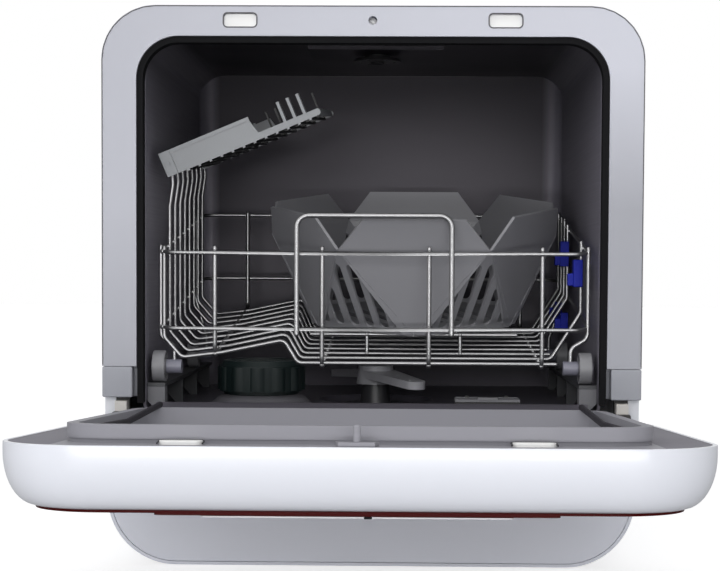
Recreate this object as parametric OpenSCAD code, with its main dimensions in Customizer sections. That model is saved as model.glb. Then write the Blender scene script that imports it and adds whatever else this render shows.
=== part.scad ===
// Countertop dishwasher with a drop-down door, a wheeled wire rack, a tilting cup shelf,
// a six-petal insert and two spray arms. Millimetres, +X right, front towards -Y, +Z up,
// origin on the worktop under the middle of the cabinet.

/* [Cabinet] */
// Width of the cabinet
body_w = 420; // [400:5:440]
// Height of the cabinet above the worktop
body_h = 435; // [431:1:450]
// Depth of the cabinet from the frame's front to the back
body_d = 392; // [388:2:420]
// Outer radius of the upper corners
top_r = 42; // [38:1:46]
// Outer radius of the lower corners
base_r = 54; // [48:1:60]
// How much narrower the base is than the cabinet, on each side
base_in = 4; // [2:0.5:6]
// Sheet thickness of the cabinet
skin = 2.5; // [1.5:0.5:3.5]

/* [Front frame] */
// Thickness of the front frame
frame_t = 12.5; // [11:0.5:14]
// Width of the frame's side bars
frame_side = 26.8; // [25:0.2:30]
// Height of the frame's upper bar
frame_bar = 23.4; // [21:0.2:25]
// Radius of the mouth's upper corners
mouth_r = 33; // [28:1:36]
// Height of the frame's lower ends above the worktop
frame_foot_z = 131.2; // [129:0.2:133]
// Height of the separate end caps of the frame
end_cap_h = 24; // [20:1:30]
// How much narrower the end caps are than the side bars
end_cap_in = 3.3; // [2:0.1:4]
// Width of the two catch slots
slot_w = 26; // [16:0.5:30]
// Height of the two catch slots
slot_h = 11; // [7:0.2:12]
// Distance of the catch slots from the middle
slot_x = 102.5; // [90:0.5:120]

/* [Tub] */
// Width of the gasket band round the mouth
seal_w = 4.9; // [4.5:0.1:6]
// Height of the tub floor above the worktop
floor_z = 118; // [116:1:119]
// How far the tub ceiling lies below the top of the cabinet
ceiling_drop = 13; // [12:0.5:16]
// Depth of the tub behind the frame
tub_d = 308.5; // [300:0.5:312]
// Wall thickness of the tub
tub_t = 2; // [1.5:0.5:3]
// Height of the tub's front lip above the worktop
lip_z = 126.5; // [124:0.5:128]
// How far the spray axis lies behind the frame
spray_in = 148.5; // [140:0.5:156]

/* [Door] */
// How far the door reaches past the cabinet on each side
door_over = 5.5; // [3:0.5:7]
// Thickness of the white door shell
door_t = 38; // [34:1:40]
// Wall of the door shell
door_wall = 3; // [2:0.5:4]
// How far the door reaches below its hinge
door_heel = 15; // [12:0.5:16]
// Radius of the door's upper corners
door_top_r = 62; // [50:1:66]
// Radius of the door's lower corners
door_low_r = 30; // [24:1:40]
// Angle at which the door rests when open
door_open = 87; // [80:1:88]
// Height of the raised step above the liner's flange
step_h = 11; // [9:0.5:12]
// Height of the recessed skirt at the foot of the step
skirt_h = 2.4; // [1.6:0.2:3]
// Depth of the basin inside the step
basin_d = 23; // [16:1:26]
// Thickness of the dark front panel
panel_t = 1.6; // [1.2:0.2:3]
// Thickness of the raised field on the front panel
field_t = 1.2; // [0.8:0.2:2]
// Radius of the hinge pins
pin_r = 2.5; // [2:0.5:3]

/* [Rack] */
// Room between the rails and the tub walls on each side
rack_room = 8.5; // [7.5:0.1:10]
// Distance between the front and back rails
rack_d = 250; // [230:5:260]
// Height of the upper front rail above the worktop
rail_hi_z = 244.5; // [238:0.5:250]
// Height of the lower front rail above the worktop
rail_lo_z = 184.7; // [180:0.5:190]
// Radius of the rails
rail_r = 1.6; // [1.4:0.1:2]
// Radius of the long wires and their uprights
post_r = 1.8; // [1.6:0.1:2.2]
// Radius of the handle's wire
grip_r = 2.1; // [1.8:0.1:2.4]
// Radius of the floor wires
wire_r = 1.6; // [1.2:0.1:1.8]
// How much the rails rise towards the back, in degrees
rail_slope = 8.8; // [7:0.2:9.2]
// How much the rack floor rises towards the back, in degrees
floor_slope = 5; // [4:0.2:5.6]
// Number of floor wires
floor_rows = 9; // [7:1:10]
// Distance between the handle's legs
handle_w = 122; // [100:2:140]
// Height of the handle's bar above the worktop
handle_z = 274; // [265:1:290]
// Radius of the rack wheels
wheel_r = 12.5; // [11:0.5:13]
// Width of the rack wheels
wheel_w = 10; // [8:0.5:10.4]

/* [Cup shelf] */
// Length of the shelf from its hinge to its tip
shelf_l = 131; // [120:1:140]
// Height of the shelf's walls
shelf_h = 20; // [16:1:22]
// Angle at which the shelf rests
shelf_tilt = 22.5; // [15:0.5:26]
// Rise of the shelf and its rod towards the back, in degrees
shelf_rise = 5.5; // [0:0.5:6]

/* [Petal insert] */
// Corner radius of the insert at its crease, as a share of the rack's width
petal_share = 0.3569; // [0.33:0.0001:0.362]
// Corner radius of the insert's floor, as a share of the rack's width
petal_floor_share = 0.2714; // [0.25:0.0002:0.29]
// Height of the crease above the insert's floor
petal_h = 71; // [60:1:76]
// Length of the outer flaps
flap_l = 27.5; // [20:0.5:34]
// Sheet thickness of the insert
petal_t = 2.2; // [1.6:0.2:3]

/* [Spray arms and caps] */
// Reach of the lower spray arm from its hub
arm_l = 90; // [75:1:92]
// Radius of the salt cap
cap_r = 36; // [30:1:37]
// Radius of the upper spray nozzle
nozzle_r = 21; // [16:1:24]

/* [Clearances] */
// Gap between pieces that nearly touch
gap = 0.3; // [0.2:0.1:0.5]
// Radial running clearance of pins and axles
run = 0.05; // [0.02:0.01:0.1]

/* [Hidden] */
$fn = 48;

// Cabinet places
half_w = body_w / 2;
front_y = -body_d / 2;
back_y = body_d / 2;
frame_back = front_y + frame_t;
mouth_w = body_w - 2 * frame_side;
base_front_y = frame_back + 5.5;
base_front_t = 3;
base_knee_z = 74;
base_neck_z = 95;
mouth_top = body_h - frame_bar;
rear_t = 3;
split_z = base_r;
slot_z = body_h - 11.3;
switch_r = 3.4;
foot_r = 12;

// Tub places
half_tub = mouth_w / 2 - seal_w - gap;
tub_w = 2 * half_tub;
ceiling_z = body_h - ceiling_drop;
tub_back = frame_back + tub_d;
nozzle_drop = 6;
tub_back_r = 14;
tub_top_r = 26;
tub_low_r = 8;
spray_y = frame_back + spray_in;
platform_z = ceiling_z - 3;
track_z = floor_z + 23.4;
track_w = 14.5;
sump_r = 50;
neck_x = -92;
neck_y = frame_back + 55.5;
neck_r = 41;
hub_r = 12;
det_x = 92.5;
det_w = 52;
det_y = frame_back + 33.5;
det_d = 24;
det_z = floor_z + 8;
lid_axis_y = det_y + det_d / 2 - 3;
lid_axis_z = det_z + gap + 1.2;
lid_pin_r = 1.2;
lid_ear_x = 16;
lid_ear_t = 3;

// Door places: the door is drawn upright about its hinge line, then laid open
hinge_y = front_y - 4.5;
hinge_z = frame_foot_z - 16.7;
door_top = body_h - hinge_z;
door_w = body_w + 2 * door_over;
rim_sink = 0.8;
liner_proud = -1;
liner_t = 3;
liner_edge = door_wall + gap;
step_w = tub_w - 1.8;
step_r = 30;
step_low = lip_z - hinge_z + 2.5;
step_high = mouth_top - hinge_z - seal_w - 1.5;
basin_slope = 8;
ear_x = half_w - 13;
ear_t = 8;
ear_r = 5.5;
notch_r = ear_r + 1;
boss_x = 11;
field_w = 236;
field_h = 46;
plate_y = hinge_y + door_heel + 0.9;

// Rack places
rack_x = 1.4;
rack_w = tub_w - 2 * rack_room;
rack_front = frame_back + 5.5;
rack_mid = rack_front + rack_d / 2;
rail_corner = 14;
wheel_x = half_tub - 9.2;
hub_x = wheel_x - wheel_w / 2 - 6.4;
wheel_z = track_z + gap + wheel_r;
wheel_front_y = rack_front + 8;
wheel_rear_y = rack_front + 198;
upright_x = [for (u = [-0.3717, -0.1212, 0.1286, 0.392]) rack_x + u * rack_w];
hump_x = -70;
row_first = rack_front + 6;
row_pitch = (rack_d - 30) / (floor_rows - 1);
wire_sides = 8;
wire_step = 26;
floor_row_z = 157;
raised_slope = 7.3;
stub_x = 145.5;
stub_rows = [0, 2, 3, 4];
bevel_w = 24;
bevel_h = 38;
hump_h = 17.2;

// Cup shelf and insert places
shelf_x = rack_x - rack_w / 2 + 4.5;
shelf_z = 315.6;
shelf_y0 = row_first + 12;
shelf_d = (floor_rows - 1) * row_pitch - 12 - 4;
shelf_pin_r = 1.6;
shelf_low = 5.3;
tall_end = 76;
fin_pitch = 8.4;
slat_x = [for (x = [12 : 9.6 : shelf_l - 10]) x];
insert_x = rack_x + 0.0932 * rack_w;
insert_y = rack_front + 133;
insert_z = 193;
insert_tilt = 8.3;
flap_lean = 22;
petal_r = rack_w * petal_share;
petal_floor_r = rack_w * petal_floor_share;
// Two raised bars on the rack's floor carry the insert, just under its tilted floor
stand_rows = [2, 6];
stand_l = 1.85 * petal_floor_r;
stand_post = 0.42 * petal_floor_r;
function stand_z(y) = insert_z + (y - insert_y) * tan(insert_tilt) - petal_t / cos(insert_tilt) - wire_r - 0.5;

wire_left = rack_x - rack_w / 2 + rail_r + wire_r - 0.3;
wire_right = rack_x + rack_w / 2 - rail_r - wire_r + 0.3;

function rack_floor(y) = floor_row_z + (y - rack_front) * tan(floor_slope);
function rail_hi(y) = rail_hi_z + (y - rack_front) * tan(rail_slope);
function rail_lo(y) = rail_lo_z + (y - rack_front) * tan(rail_slope);

// How far the raised left part of the rack floor stands above its flat part
function raised(y) = (y - row_first) * (tan(raised_slope) - tan(floor_slope));
function floor_lift(x, y) = x < hump_x ? hump_h + (x - hump_x + 12) * 0.19 + raised(y) : 0;

function has(list, k) = len([for (i = list) if (i == k) i]) > 0;

// Where floor wire k runs: its depth and the height of its raised left end
function row_y(k) = row_first + k * row_pitch;
function left_foot(k) = rack_floor(row_y(k)) + 26 + raised(row_y(k));

// A rectangle with its own radii at the lower and the upper corners, standing on y = 0
module soft_rect(w, h, low_r, high_r) {
  translate([-w / 2, low_r]) square([w, h - low_r - high_r]);
  translate([low_r - w / 2, 0]) square([w - 2 * low_r, low_r + 0.01]);
  translate([high_r - w / 2, h - high_r - 0.01]) square([w - 2 * high_r, high_r + 0.01]);
  for (s = [-1, 1]) {
    translate([s * (w / 2 - low_r), low_r]) circle(low_r, $fn = 96);
    translate([s * (w / 2 - high_r), h - high_r]) circle(high_r, $fn = 96);
  }
}

// Stands a flat outline up so that its y axis is height, between two depths
module upright(y0, y1) {
  translate([0, y1, 0]) rotate([90, 0, 0]) linear_extrude(y1 - y0) children();
}

// Sweeps a profile round a rounded rectangle: x of the profile points outwards, y along depth
module rim_sweep(w, h, low_r, high_r) {
  for (s = [-1, 1]) {
    translate([s * (w / 2 - low_r), low_r]) rotate([0, 0, s > 0 ? 270 : 180])
      rotate_extrude(angle = 90, $fn = 96) translate([low_r, 0]) children();
    translate([s * (w / 2 - high_r), h - high_r]) rotate([0, 0, s > 0 ? 0 : 90])
      rotate_extrude(angle = 90, $fn = 96) translate([high_r, 0]) children();
    translate([s * w / 2, s > 0 ? h - high_r : low_r, 0]) rotate([90, 0, s > 0 ? 0 : 180])
      linear_extrude(h - low_r - high_r) children();
  }
  translate([low_r - w / 2, 0, 0]) rotate([90, 0, 270])
    translate([0, 0, 2 * low_r - w]) linear_extrude(w - 2 * low_r) children();
  translate([w / 2 - high_r, h, 0]) rotate([90, 0, 90])
    translate([0, 0, 2 * high_r - w]) linear_extrude(w - 2 * high_r) children();
}

// How far a flat path turns at a corner, and how much of a leg the bend there takes away
function turn_at(p, i) = let(a = p[i] - p[i - 1], b = p[i + 1] - p[i])
  atan2(a.x * b.y - a.y * b.x, a * b);
function trim(p, i, bend) = bend * tan(abs(turn_at(p, i)) / 2);

// The stations of the round bend at corner i: x, y and the heading there
function bend_stations(p, i, bend) =
  let(leg = p[i] - p[i - 1], way = leg / norm(leg), angle = atan2(way.y, way.x),
      turn = turn_at(p, i), side = sign(turn), steps = max(1, ceil(abs(turn) / wire_step)),
      centre = p[i] - way * trim(p, i, bend) + side * bend * [-way.y, way.x])
  [for (k = [0 : steps]) let(a = angle + turn * k / steps)
    [centre.x + side * bend * sin(a), centre.y - side * bend * cos(a), a]];

function path_stations(p, bend) = let(last = len(p) - 1, a = p[1] - p[0], b = p[last] - p[last - 1])
  concat([[p[0].x, p[0].y, atan2(a.y, a.x)]],
    [for (i = [1 : 1 : last - 1]) each bend_stations(p, i, bend)],
    [[p[last].x, p[last].y, atan2(b.y, b.x)]]);

// A wire in the XY plane through flat points, with a round bend at each corner
module flat_wire(p, r, bend) {
  stations = path_stations(p, bend);
  n = wire_sides;
  m = len(stations);
  polyhedron(
    points = [for (s = stations, j = [0 : n - 1]) let(a = (j + 0.5) * 360 / n)
      [s.x - r * cos(a) * sin(s.z), s.y + r * cos(a) * cos(s.z), r * sin(a)]],
    faces = concat([[for (j = [0 : n - 1]) j]],
      [for (i = [0 : m - 2], j = [0 : n - 1])
        [i * n + j, (i + 1) * n + j, (i + 1) * n + (j + 1) % n, i * n + (j + 1) % n]],
      [[for (j = [n - 1 : -1 : 0]) (m - 1) * n + j]]));
}

// The same wire standing in an XZ plane at depth y, or in a YZ plane at x
module wire_across(y, p, r, bend) {
  translate([0, y, 0]) rotate([90, 0, 0]) flat_wire(p, r, bend);
}

module wire_along(x, p, r, bend) {
  translate([x, 0, 0]) rotate([90, 0, 90]) flat_wire(p, r, bend);
}

// A slot with round ends, along y from the origin
module round_slot(w, l) {
  translate([-w / 2, w / 2]) square([w, l - w]);
  for (y = [w / 2, l - w / 2]) translate([0, y]) circle(w / 2);
}

// ---- Cabinet ----

module body_outline(inset) {
  translate([0, inset])
    soft_rect(body_w - 2 * inset, body_h - 2 * inset, base_r - inset, top_r - inset);
}

// The narrower outline of the base
module base_outline(inset) {
  translate([0, inset])
    soft_rect(body_w - 2 * base_in - 2 * inset, body_h, base_r - inset, top_r);
}

module cabinet_shell() {
  return_w = half_w - ear_x - ear_t / 2 - gap;
  return_y = plate_y + gap;
  color("white") {
    intersection() {
      upright(frame_back + gap, back_y - rear_t) difference() {
        body_outline(0);
        body_outline(skin);
      }
      translate([-half_w, front_y, split_z + gap]) cube([body_w, body_d, body_h]);
    }
    for (s = [-1, 1]) translate([s > 0 ? half_w - return_w : -half_w, return_y, split_z + gap])
      cube([return_w, frame_back + 2 * gap - return_y, frame_foot_z - split_z - 2 * gap]);
  }
}

module base_pan() {
  color("gainsboro") difference() {
    intersection() {
      upright(front_y, back_y - rear_t) difference() {
        base_outline(0);
        base_outline(skin);
      }
      translate([-half_w, front_y - 1, -1]) cube([body_w, body_d + 2, split_z + 1]);
    }
    foot_places() translate([0, 0, -1]) cylinder(skin + 2, foot_r, foot_r);
  }
}

module base_front() {
  face_y = front_y + 0.6;
  top = floor_z - tub_t - 1;
  back = base_front_y + base_front_t - gap;
  profile = [[face_y, 0], [face_y, base_knee_z], [base_front_y, base_neck_z], [base_front_y, top],
    [back, top], [back, base_neck_z - 1], [face_y + base_front_t, base_knee_z - 1],
    [face_y + base_front_t, 0]];
  color("silver") difference() {
    intersection() {
      upright(front_y, back + 1) base_outline(skin + gap);
      translate([-half_w, 0, 0]) rotate([90, 0, 90]) linear_extrude(body_w) polygon(profile);
    }
    for (s = [-1, 1]) translate([s > 0 ? half_w - 14 : -half_w - 1, front_y, base_knee_z + 2])
      cube([15, body_d, body_h]);
  }
}

module rear_panel() {
  vent_n = 9;
  color("whitesmoke") {
    difference() {
      upright(back_y - rear_t, back_y) {
        intersection() {
          body_outline(0);
          translate([-half_w, split_z]) square([body_w, body_h]);
        }
        base_outline(0);
      }
      for (i = [0 : vent_n - 1]) translate([60 + i * 12, back_y + 1, 40]) rotate([90, 0, 0])
        linear_extrude(rear_t + 2) round_slot(5, 60);
      translate([-150, back_y + 1, 50]) rotate([90, 0, 0]) cylinder(rear_t + 2, 11, 11);
    }
    translate([-150, back_y - rear_t, 50]) rotate([-90, 0, 0]) difference() {
      cylinder(rear_t + 3, 14, 14);
      translate([0, 0, -1]) cylinder(rear_t + 5, 9, 9);
    }
    translate([-100, back_y - 1, 80]) rotate([-90, 0, 0]) difference() {
      cylinder(13, 13, 13);
      translate([0, 0, 2]) cylinder(13, 9, 9);
    }
    translate([-55, back_y - 1, 80]) rotate([-90, 0, 0]) difference() {
      cylinder(20, 9, 9);
      translate([0, 0, 2]) cylinder(20, 6, 6);
    }
  }
}

// Puts its children where the four rubber plugs sit in the pan
module foot_places() {
  for (x = [-1, 1], y = [-1, 1])
    translate([x * (half_w - base_r - 21), y * (back_y - 40) + 6, 0]) children();
}

module feet() {
  color("dimgray") foot_places() {
    cylinder(skin + 0.5, foot_r - gap, foot_r - gap);
    translate([0, 0, skin]) cylinder(2, foot_r + 3, foot_r + 2);
  }
}

module frame_outline() {
  difference() {
    body_outline(0);
    translate([0, -mouth_r]) soft_rect(mouth_w, mouth_top + mouth_r, 1, mouth_r);
  }
}

module front_frame() {
  color("silver") difference() {
    intersection() {
      upright(front_y, frame_back) frame_outline();
      translate([-half_w, front_y - 1, frame_foot_z + end_cap_h + gap]) cube([body_w, frame_t + 2, body_h]);
    }
    for (s = [-1, 1]) translate([s * slot_x - slot_w / 2, 0, slot_z]) rotate([0, 90, 0])
      translate([0, frame_back + 1, 0]) rotate([90, 0, 0])
        linear_extrude(frame_t + 2) round_slot_wide();
    translate([0, frame_back + 1, slot_z]) rotate([90, 0, 0]) cylinder(frame_t + 2, switch_r, switch_r);
  }
}

// The catch slot's outline, along y with softly rounded corners
module round_slot_wide(shrink = 0) {
  r = 3.2;
  w = slot_h - 2 * shrink;
  l = slot_w - 2 * shrink;
  translate([0, shrink]) {
    translate([-w / 2, r]) square([w, l - 2 * r]);
    translate([r - w / 2, 0]) square([w - 2 * r, l]);
    for (x = [-1, 1], y = [r, l - r]) translate([x * (w / 2 - r), y]) circle(r);
  }
}

module frame_end(side) {
  inner = mouth_w / 2 + end_cap_in;
  color("silver") union() {
    translate([side > 0 ? inner : -half_w, front_y, frame_foot_z])
      cube([half_w - inner, frame_t, end_cap_h]);
    translate([side > 0 ? mouth_w / 2 : -inner - 0.5, frame_back - 3, frame_foot_z])
      cube([end_cap_in + 0.5, 3, end_cap_h]);
  }
}

module frame_end_left() { frame_end(-1); }
module frame_end_right() { frame_end(1); }

// ---- Tub ----

module tub_block(extra, front) {
  intersection() {
    upright(front, tub_back + extra)
      translate([0, floor_z - extra])
        soft_rect(tub_w + 2 * extra, ceiling_z - floor_z + 2 * extra, tub_low_r + extra, tub_top_r + extra);
    translate([0, tub_back + extra, floor_z - extra - 1]) rotate([0, 0, 180])
      linear_extrude(ceiling_z - floor_z + 2 * extra + 2)
        soft_rect(tub_w + 2 * extra, body_d, tub_back_r + extra, 1);
  }
}

module tub() {
  well_d = 7;
  color("dimgray") difference() {
    union() {
      difference() {
        tub_block(tub_t, frame_back + gap);
        tub_block(0, frame_back - 1);
      }
      translate([-half_tub + tub_low_r, frame_back + gap, floor_z - 0.5])
        cube([tub_w - 2 * tub_low_r, 4, lip_z - floor_z + 0.5]);
      translate([0, spray_y, floor_z - well_d - tub_t]) cylinder(well_d + tub_t, sump_r + 2, sump_r + 2);
      translate([-58, spray_y - 40, platform_z]) cube([116, 80, ceiling_z - platform_z + 1]);
    }
    translate([0, spray_y, floor_z - well_d]) cylinder(well_d + 1, sump_r, sump_r);
    translate([0, spray_y, floor_z - well_d - tub_t - 1]) cylinder(well_d, 22, 22);
    translate([neck_x, neck_y, floor_z - tub_t - 1]) cylinder(tub_t + 2, neck_r - 6, neck_r - 6);
    translate([det_x - det_w / 2 + 3, det_y - det_d / 2 + 3, floor_z - tub_t - 1])
      cube([det_w - 6, det_d - 6, tub_t + 2]);
  }
}

module tub_gasket() {
  color("black") intersection() {
    upright(front_y + 2, frame_back) difference() {
      translate([0, -mouth_r]) soft_rect(mouth_w - 2 * gap, mouth_top + mouth_r - gap, 1, mouth_r - gap);
      translate([0, -mouth_r])
        soft_rect(mouth_w - 2 * seal_w, mouth_top + mouth_r - seal_w, 1, mouth_r - seal_w);
    }
    translate([-half_w, front_y, lip_z]) cube([body_w, frame_t, body_h]);
  }
}

// One cross slice of a track's support: a foot on the tub floor and the part under the track
module track_rib(t) {
  rotate([90, 0, 0]) mirror([0, 0, 1]) linear_extrude(t)
    polygon([[half_tub - track_w, 0], [half_tub - tub_low_r, 0], [half_tub - tub_low_r, 1],
      [half_tub - gap, tub_low_r + 1], [half_tub - gap, track_z - floor_z - 1],
      [half_tub - track_w, track_z - floor_z - 1]]);
}

module wheel_tracks() {
  plate = 3;
  front = frame_back + 4 + 2 * gap;
  color("gray") for (s = [0, 1]) mirror([s, 0, 0]) {
    translate([half_tub - track_w, front, track_z - plate])
      cube([track_w - gap, tub_back - 18 - front, plate]);
    for (y = [front + 94, spray_y + 35, tub_back - 40]) translate([0, y, floor_z]) track_rib(3);
  }
}

// The light blocks that carry the front ends of the tracks
module track_blocks() {
  plate = 3;
  front = frame_back + 4 + 2 * gap;
  color("lightgray") for (s = [0, 1]) mirror([s, 0, 0]) translate([0, front, floor_z])
    difference() {
      track_rib(12);
      translate([0, -1, track_z - floor_z - plate]) cube([half_tub, 14, plate]);
    }
}

module salt_neck() {
  h = 12;
  color("dimgray") translate([neck_x, neck_y, floor_z]) difference() {
    rotate_extrude($fn = 96) polygon([[30, 0], [neck_r, 0], [neck_r, 4], [neck_r - 5, h - 3], [30, h]]);
    translate([0, 0, -1]) cylinder(h + 2, 28, 28);
  }
}

module salt_cap() {
  base = floor_z + 12 + gap;
  h = 27;
  lobes = 12;
  color("darkslategray") translate([neck_x, neck_y, base]) {
    difference() {
      union() {
        cylinder(3, cap_r - 5, cap_r - 5);
        translate([0, 0, 2]) cylinder(h - 6, cap_r - 2, cap_r - 2, $fn = 96);
        translate([0, 0, h - 4.5]) cylinder(4.5, cap_r - 2, cap_r - 5, $fn = 96);
        for (i = [0 : lobes - 1]) rotate(i * 360 / lobes) translate([cap_r - 8, 0, 3])
          cylinder(h - 8, 8, 8);
      }
      translate([0, 0, h - 3]) difference() {
        cylinder(4, cap_r - 10, cap_r - 9);
        translate([-cap_r, -4, -1]) cube([2 * cap_r, 8, 6]);
      }
      translate([0, 0, -1]) cylinder(h - 6, cap_r - 12, cap_r - 12);
    }
    translate([0, 0, -9]) difference() {
      cylinder(10, 27.6, 27.6);
      translate([0, 0, -1]) cylinder(12, 24, 24);
    }
  }
}

module spray_hub() {
  color("dimgray") translate([0, spray_y, floor_z - 7]) difference() {
    union() {
      cylinder(3, 34, 34);
      translate([0, 0, 2]) cylinder(18, hub_r + 1.5, hub_r);
      cylinder(29, 6, 6);
    }
    translate([0, 0, -1]) cylinder(26, 4, 4);
    for (a = [0 : 30 : 330]) rotate(a) translate([24, 0, -1]) cylinder(5, 3, 3);
  }
}

// One blade of the lower arm, along +x
module arm_blade() {
  root = 15;
  tip = 8.5;
  linear_extrude(6.5) {
    polygon([[0, -root], [30, -root + 2.5], [arm_l - tip, -tip], [arm_l - tip, tip], [30, root - 2.5],
      [0, root]]);
    translate([arm_l - tip, 0]) circle(tip);
  }
}

module lower_spray_arm() {
  z = floor_z + 13 + 2 * gap;
  droop = 3.4;
  lean = -65;
  color("gray") translate([0, spray_y, z]) rotate([0, 0, lean]) difference() {
    union() {
      for (s = [0, 180]) rotate([0, 0, s]) translate([0, 0, 6]) rotate([0, droop, 0]) arm_blade();
      cylinder(16, 17, 15);
    }
    translate([0, 0, -1]) cylinder(12.5, 6 + run, 6 + run);
    for (s = [0, 180], x = [28, 46, 62, 78]) rotate([0, 0, s])
      translate([x, (x % 3) * 3 - 3, 0]) cylinder(20, 1.4, 1.4);
  }
}

module sump() {
  top = floor_z - 9;
  color("dimgray") translate([0, spray_y, 0]) {
    translate([0, 0, 44]) difference() {
      cylinder(top - 44 - gap, 30, 44);
      translate([0, 0, 4]) cylinder(top - 44, 26, 40);
    }
    for (a = [30, 150, 270]) rotate(a) translate([24, 0, skin]) cylinder(42, 4, 4);
    translate([25, 0, 56]) rotate([0, 90, 0]) cylinder(26, 9, 9);
    translate([-25, 0, 52]) rotate([0, -90, 0]) cylinder(30, 7, 7);
  }
}

module nozzle_holder() {
  stem_r = 4;
  color("dimgray") translate([0, spray_y, platform_z]) {
    translate([0, 0, -2]) cylinder(2, 11, 11);
    translate([0, 0, -nozzle_drop]) cylinder(nozzle_drop, stem_r, stem_r);
    translate([0, 0, -nozzle_drop - 1]) cylinder(1.1, 6, 6);
  }
}

module top_nozzle() {
  hub_h = nozzle_drop - 2 - 2 * gap;
  color("black") translate([0, spray_y, platform_z - nozzle_drop + gap]) difference() {
    union() {
      cylinder(2.6, nozzle_r, nozzle_r - 1);
      cylinder(hub_h, 10, 8);
    }
    translate([0, 0, -1]) cylinder(10, 4 + run, 4 + run);
    for (a = [0 : 60 : 300]) rotate(a) translate([nozzle_r - 6, 0, -1]) cylinder(6, 1.6, 1.6);
  }
}

module detergent_box() {
  wall = 2;
  color("silver") {
    difference() {
      translate([det_x - det_w / 2, det_y - det_d / 2, floor_z]) cube([det_w, det_d, det_z - floor_z]);
      translate([det_x - det_w / 2 + wall, det_y - det_d / 2 + wall, floor_z + 1.5])
        cube([det_w - 2 * wall, det_d - 2 * wall, det_z]);
    }
    for (s = [-1, 1]) translate([det_x + s * lid_ear_x - lid_ear_t / 2, lid_axis_y, lid_axis_z])
      rotate([0, 90, 0]) difference() {
        union() {
          cylinder(lid_ear_t, 2.6, 2.6);
          translate([0, -2.6, 0]) cube([lid_axis_z - det_z + 1, 5.2, lid_ear_t]);
        }
        translate([0, 0, -1]) cylinder(lid_ear_t + 2, lid_pin_r + run, lid_pin_r + run);
      }
  }
}

module detergent_lid() {
  t = 2;
  y0 = det_y - det_d / 2;
  color("darkgray") {
    difference() {
      union() {
        translate([det_x - det_w / 2, y0, det_z + gap]) cube([det_w, lid_axis_y - y0, t]);
        translate([det_x - 8, y0 - 0.5, det_z + gap + t - 0.5]) cube([16, 6, 2]);
      }
      for (s = [-1, 1]) translate([det_x + s * lid_ear_x - lid_ear_t / 2 - 0.5, lid_axis_y - 3.6, det_z])
        cube([lid_ear_t + 1, 8, 8]);
    }
    translate([det_x - det_w / 2 + 1, lid_axis_y, lid_axis_z]) rotate([0, 90, 0])
      cylinder(det_w - 2, lid_pin_r, lid_pin_r);
  }
}

// ---- Machine space under and behind the tub ----

module wash_pump() {
  z = skin;
  color("slategray") translate([112, spray_y, 0]) {
    translate([-34, 0, z + 48]) rotate([0, 90, 0]) cylinder(20, 34, 34);
    translate([-14, 0, z + 48]) rotate([0, 90, 0]) cylinder(62, 28, 28);
    translate([-60.7, 0, 56]) rotate([0, 90, 0]) cylinder(27, 8, 8);
    for (x = [-26, 34]) translate([x - 5, -20, z]) cube([10, 40, 30]);
  }
}

module drain_pump() {
  z = skin;
  color("darkslategray") translate([-112, spray_y, 0]) {
    translate([0, 0, z + 28]) rotate([0, 90, 0]) cylinder(48, 22, 22, center = true);
    translate([24, 0, 52]) rotate([0, 90, 0]) cylinder(32.7, 6, 6);
    for (x = [-16, 16]) translate([x - 4, -14, z]) cube([8, 28, 16]);
  }
}

module heater() {
  color("silver") translate([90, 90, skin]) {
    cylinder(58, 26, 26);
    translate([0, 0, 58]) cylinder(6, 20, 20);
    for (a = [0, 120, 240]) rotate(a) translate([12, 0, 63]) cylinder(9, 3, 3);
  }
}

module water_tank() {
  y0 = tub_back + tub_t + 8;
  d = back_y - rear_t - gap - y0;
  w = 260;
  h = 300;
  wall = 3;
  low = skin + 100;
  color("lightblue") {
    difference() {
      translate([-half_tub, y0, low]) cube([w, d, h]);
      translate([wall - half_tub, y0 + wall, low + wall]) cube([w - 2 * wall, d - 2 * wall, h - 2 * wall]);
    }
    for (x = [0.3, 0.84]) translate([x * w - half_tub, y0 + d / 4, skin]) cube([16, d / 2, low - skin + 0.5]);
  }
}

module control_board() {
  color("seagreen") translate([-150, 60, skin]) {
    cube([90, 3, 60]);
    for (x = [6, 40, 66]) translate([x, 2.5, 12]) cube([16, 12, 18]);
    for (x = [0, 82]) translate([x, -6, 0]) cube([8, 15, 4]);
  }
}

// ---- Hinges and catches ----

module hinge_brackets() {
  top = frame_foot_z - gap;
  low = hinge_z - 18;
  color("dimgray") for (s = [-1, 1]) translate([s * ear_x, 0, 0]) difference() {
    union() {
      translate([s > 0 ? -6.5 : -ear_t / 2, plate_y, low])
        cube([6.5 + ear_t / 2, base_front_y - gap - plate_y, top - low]);
      translate([-ear_t / 2, hinge_y, hinge_z - ear_r]) cube([ear_t, plate_y - hinge_y + 1, 2 * ear_r]);
      translate([-ear_t / 2, hinge_y, hinge_z]) rotate([0, 90, 0]) cylinder(ear_t, ear_r, ear_r);
    }
    translate([-ear_t, hinge_y, hinge_z]) rotate([0, 90, 0]) cylinder(2 * ear_t, pin_r + run, pin_r + run);
  }
}

module hinge_blocks() {
  y0 = front_y - 0.6;
  color("beige") for (s = [-1, 1]) translate([s * (ear_x - 1.5) - 4.6, y0, hinge_z + ear_r + gap])
    cube([9.2, plate_y - gap - y0, 8]);
}

module catch_blocks() {
  color("white") for (s = [-1, 1]) translate([s * slot_x - slot_w / 2, 0, slot_z]) rotate([0, 90, 0])
    translate([0, frame_back, 0]) rotate([90, 0, 0]) linear_extrude(frame_t - 3) round_slot_wide(gap);
}

module latch_switch() {
  plunger_r = switch_r - gap;
  low = ceiling_z + tub_t + gap;
  color("white") {
    translate([0, frame_back, slot_z]) rotate([90, 0, 0]) cylinder(2.7, plunger_r, plunger_r);
    translate([-2, frame_back - 2.5, low]) cube([4, 4, 2]);
  }
  color("black") translate([-9, frame_back + gap, low]) cube([18, 14, body_h - skin - gap - low]);
}

// ---- Door ----

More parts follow.
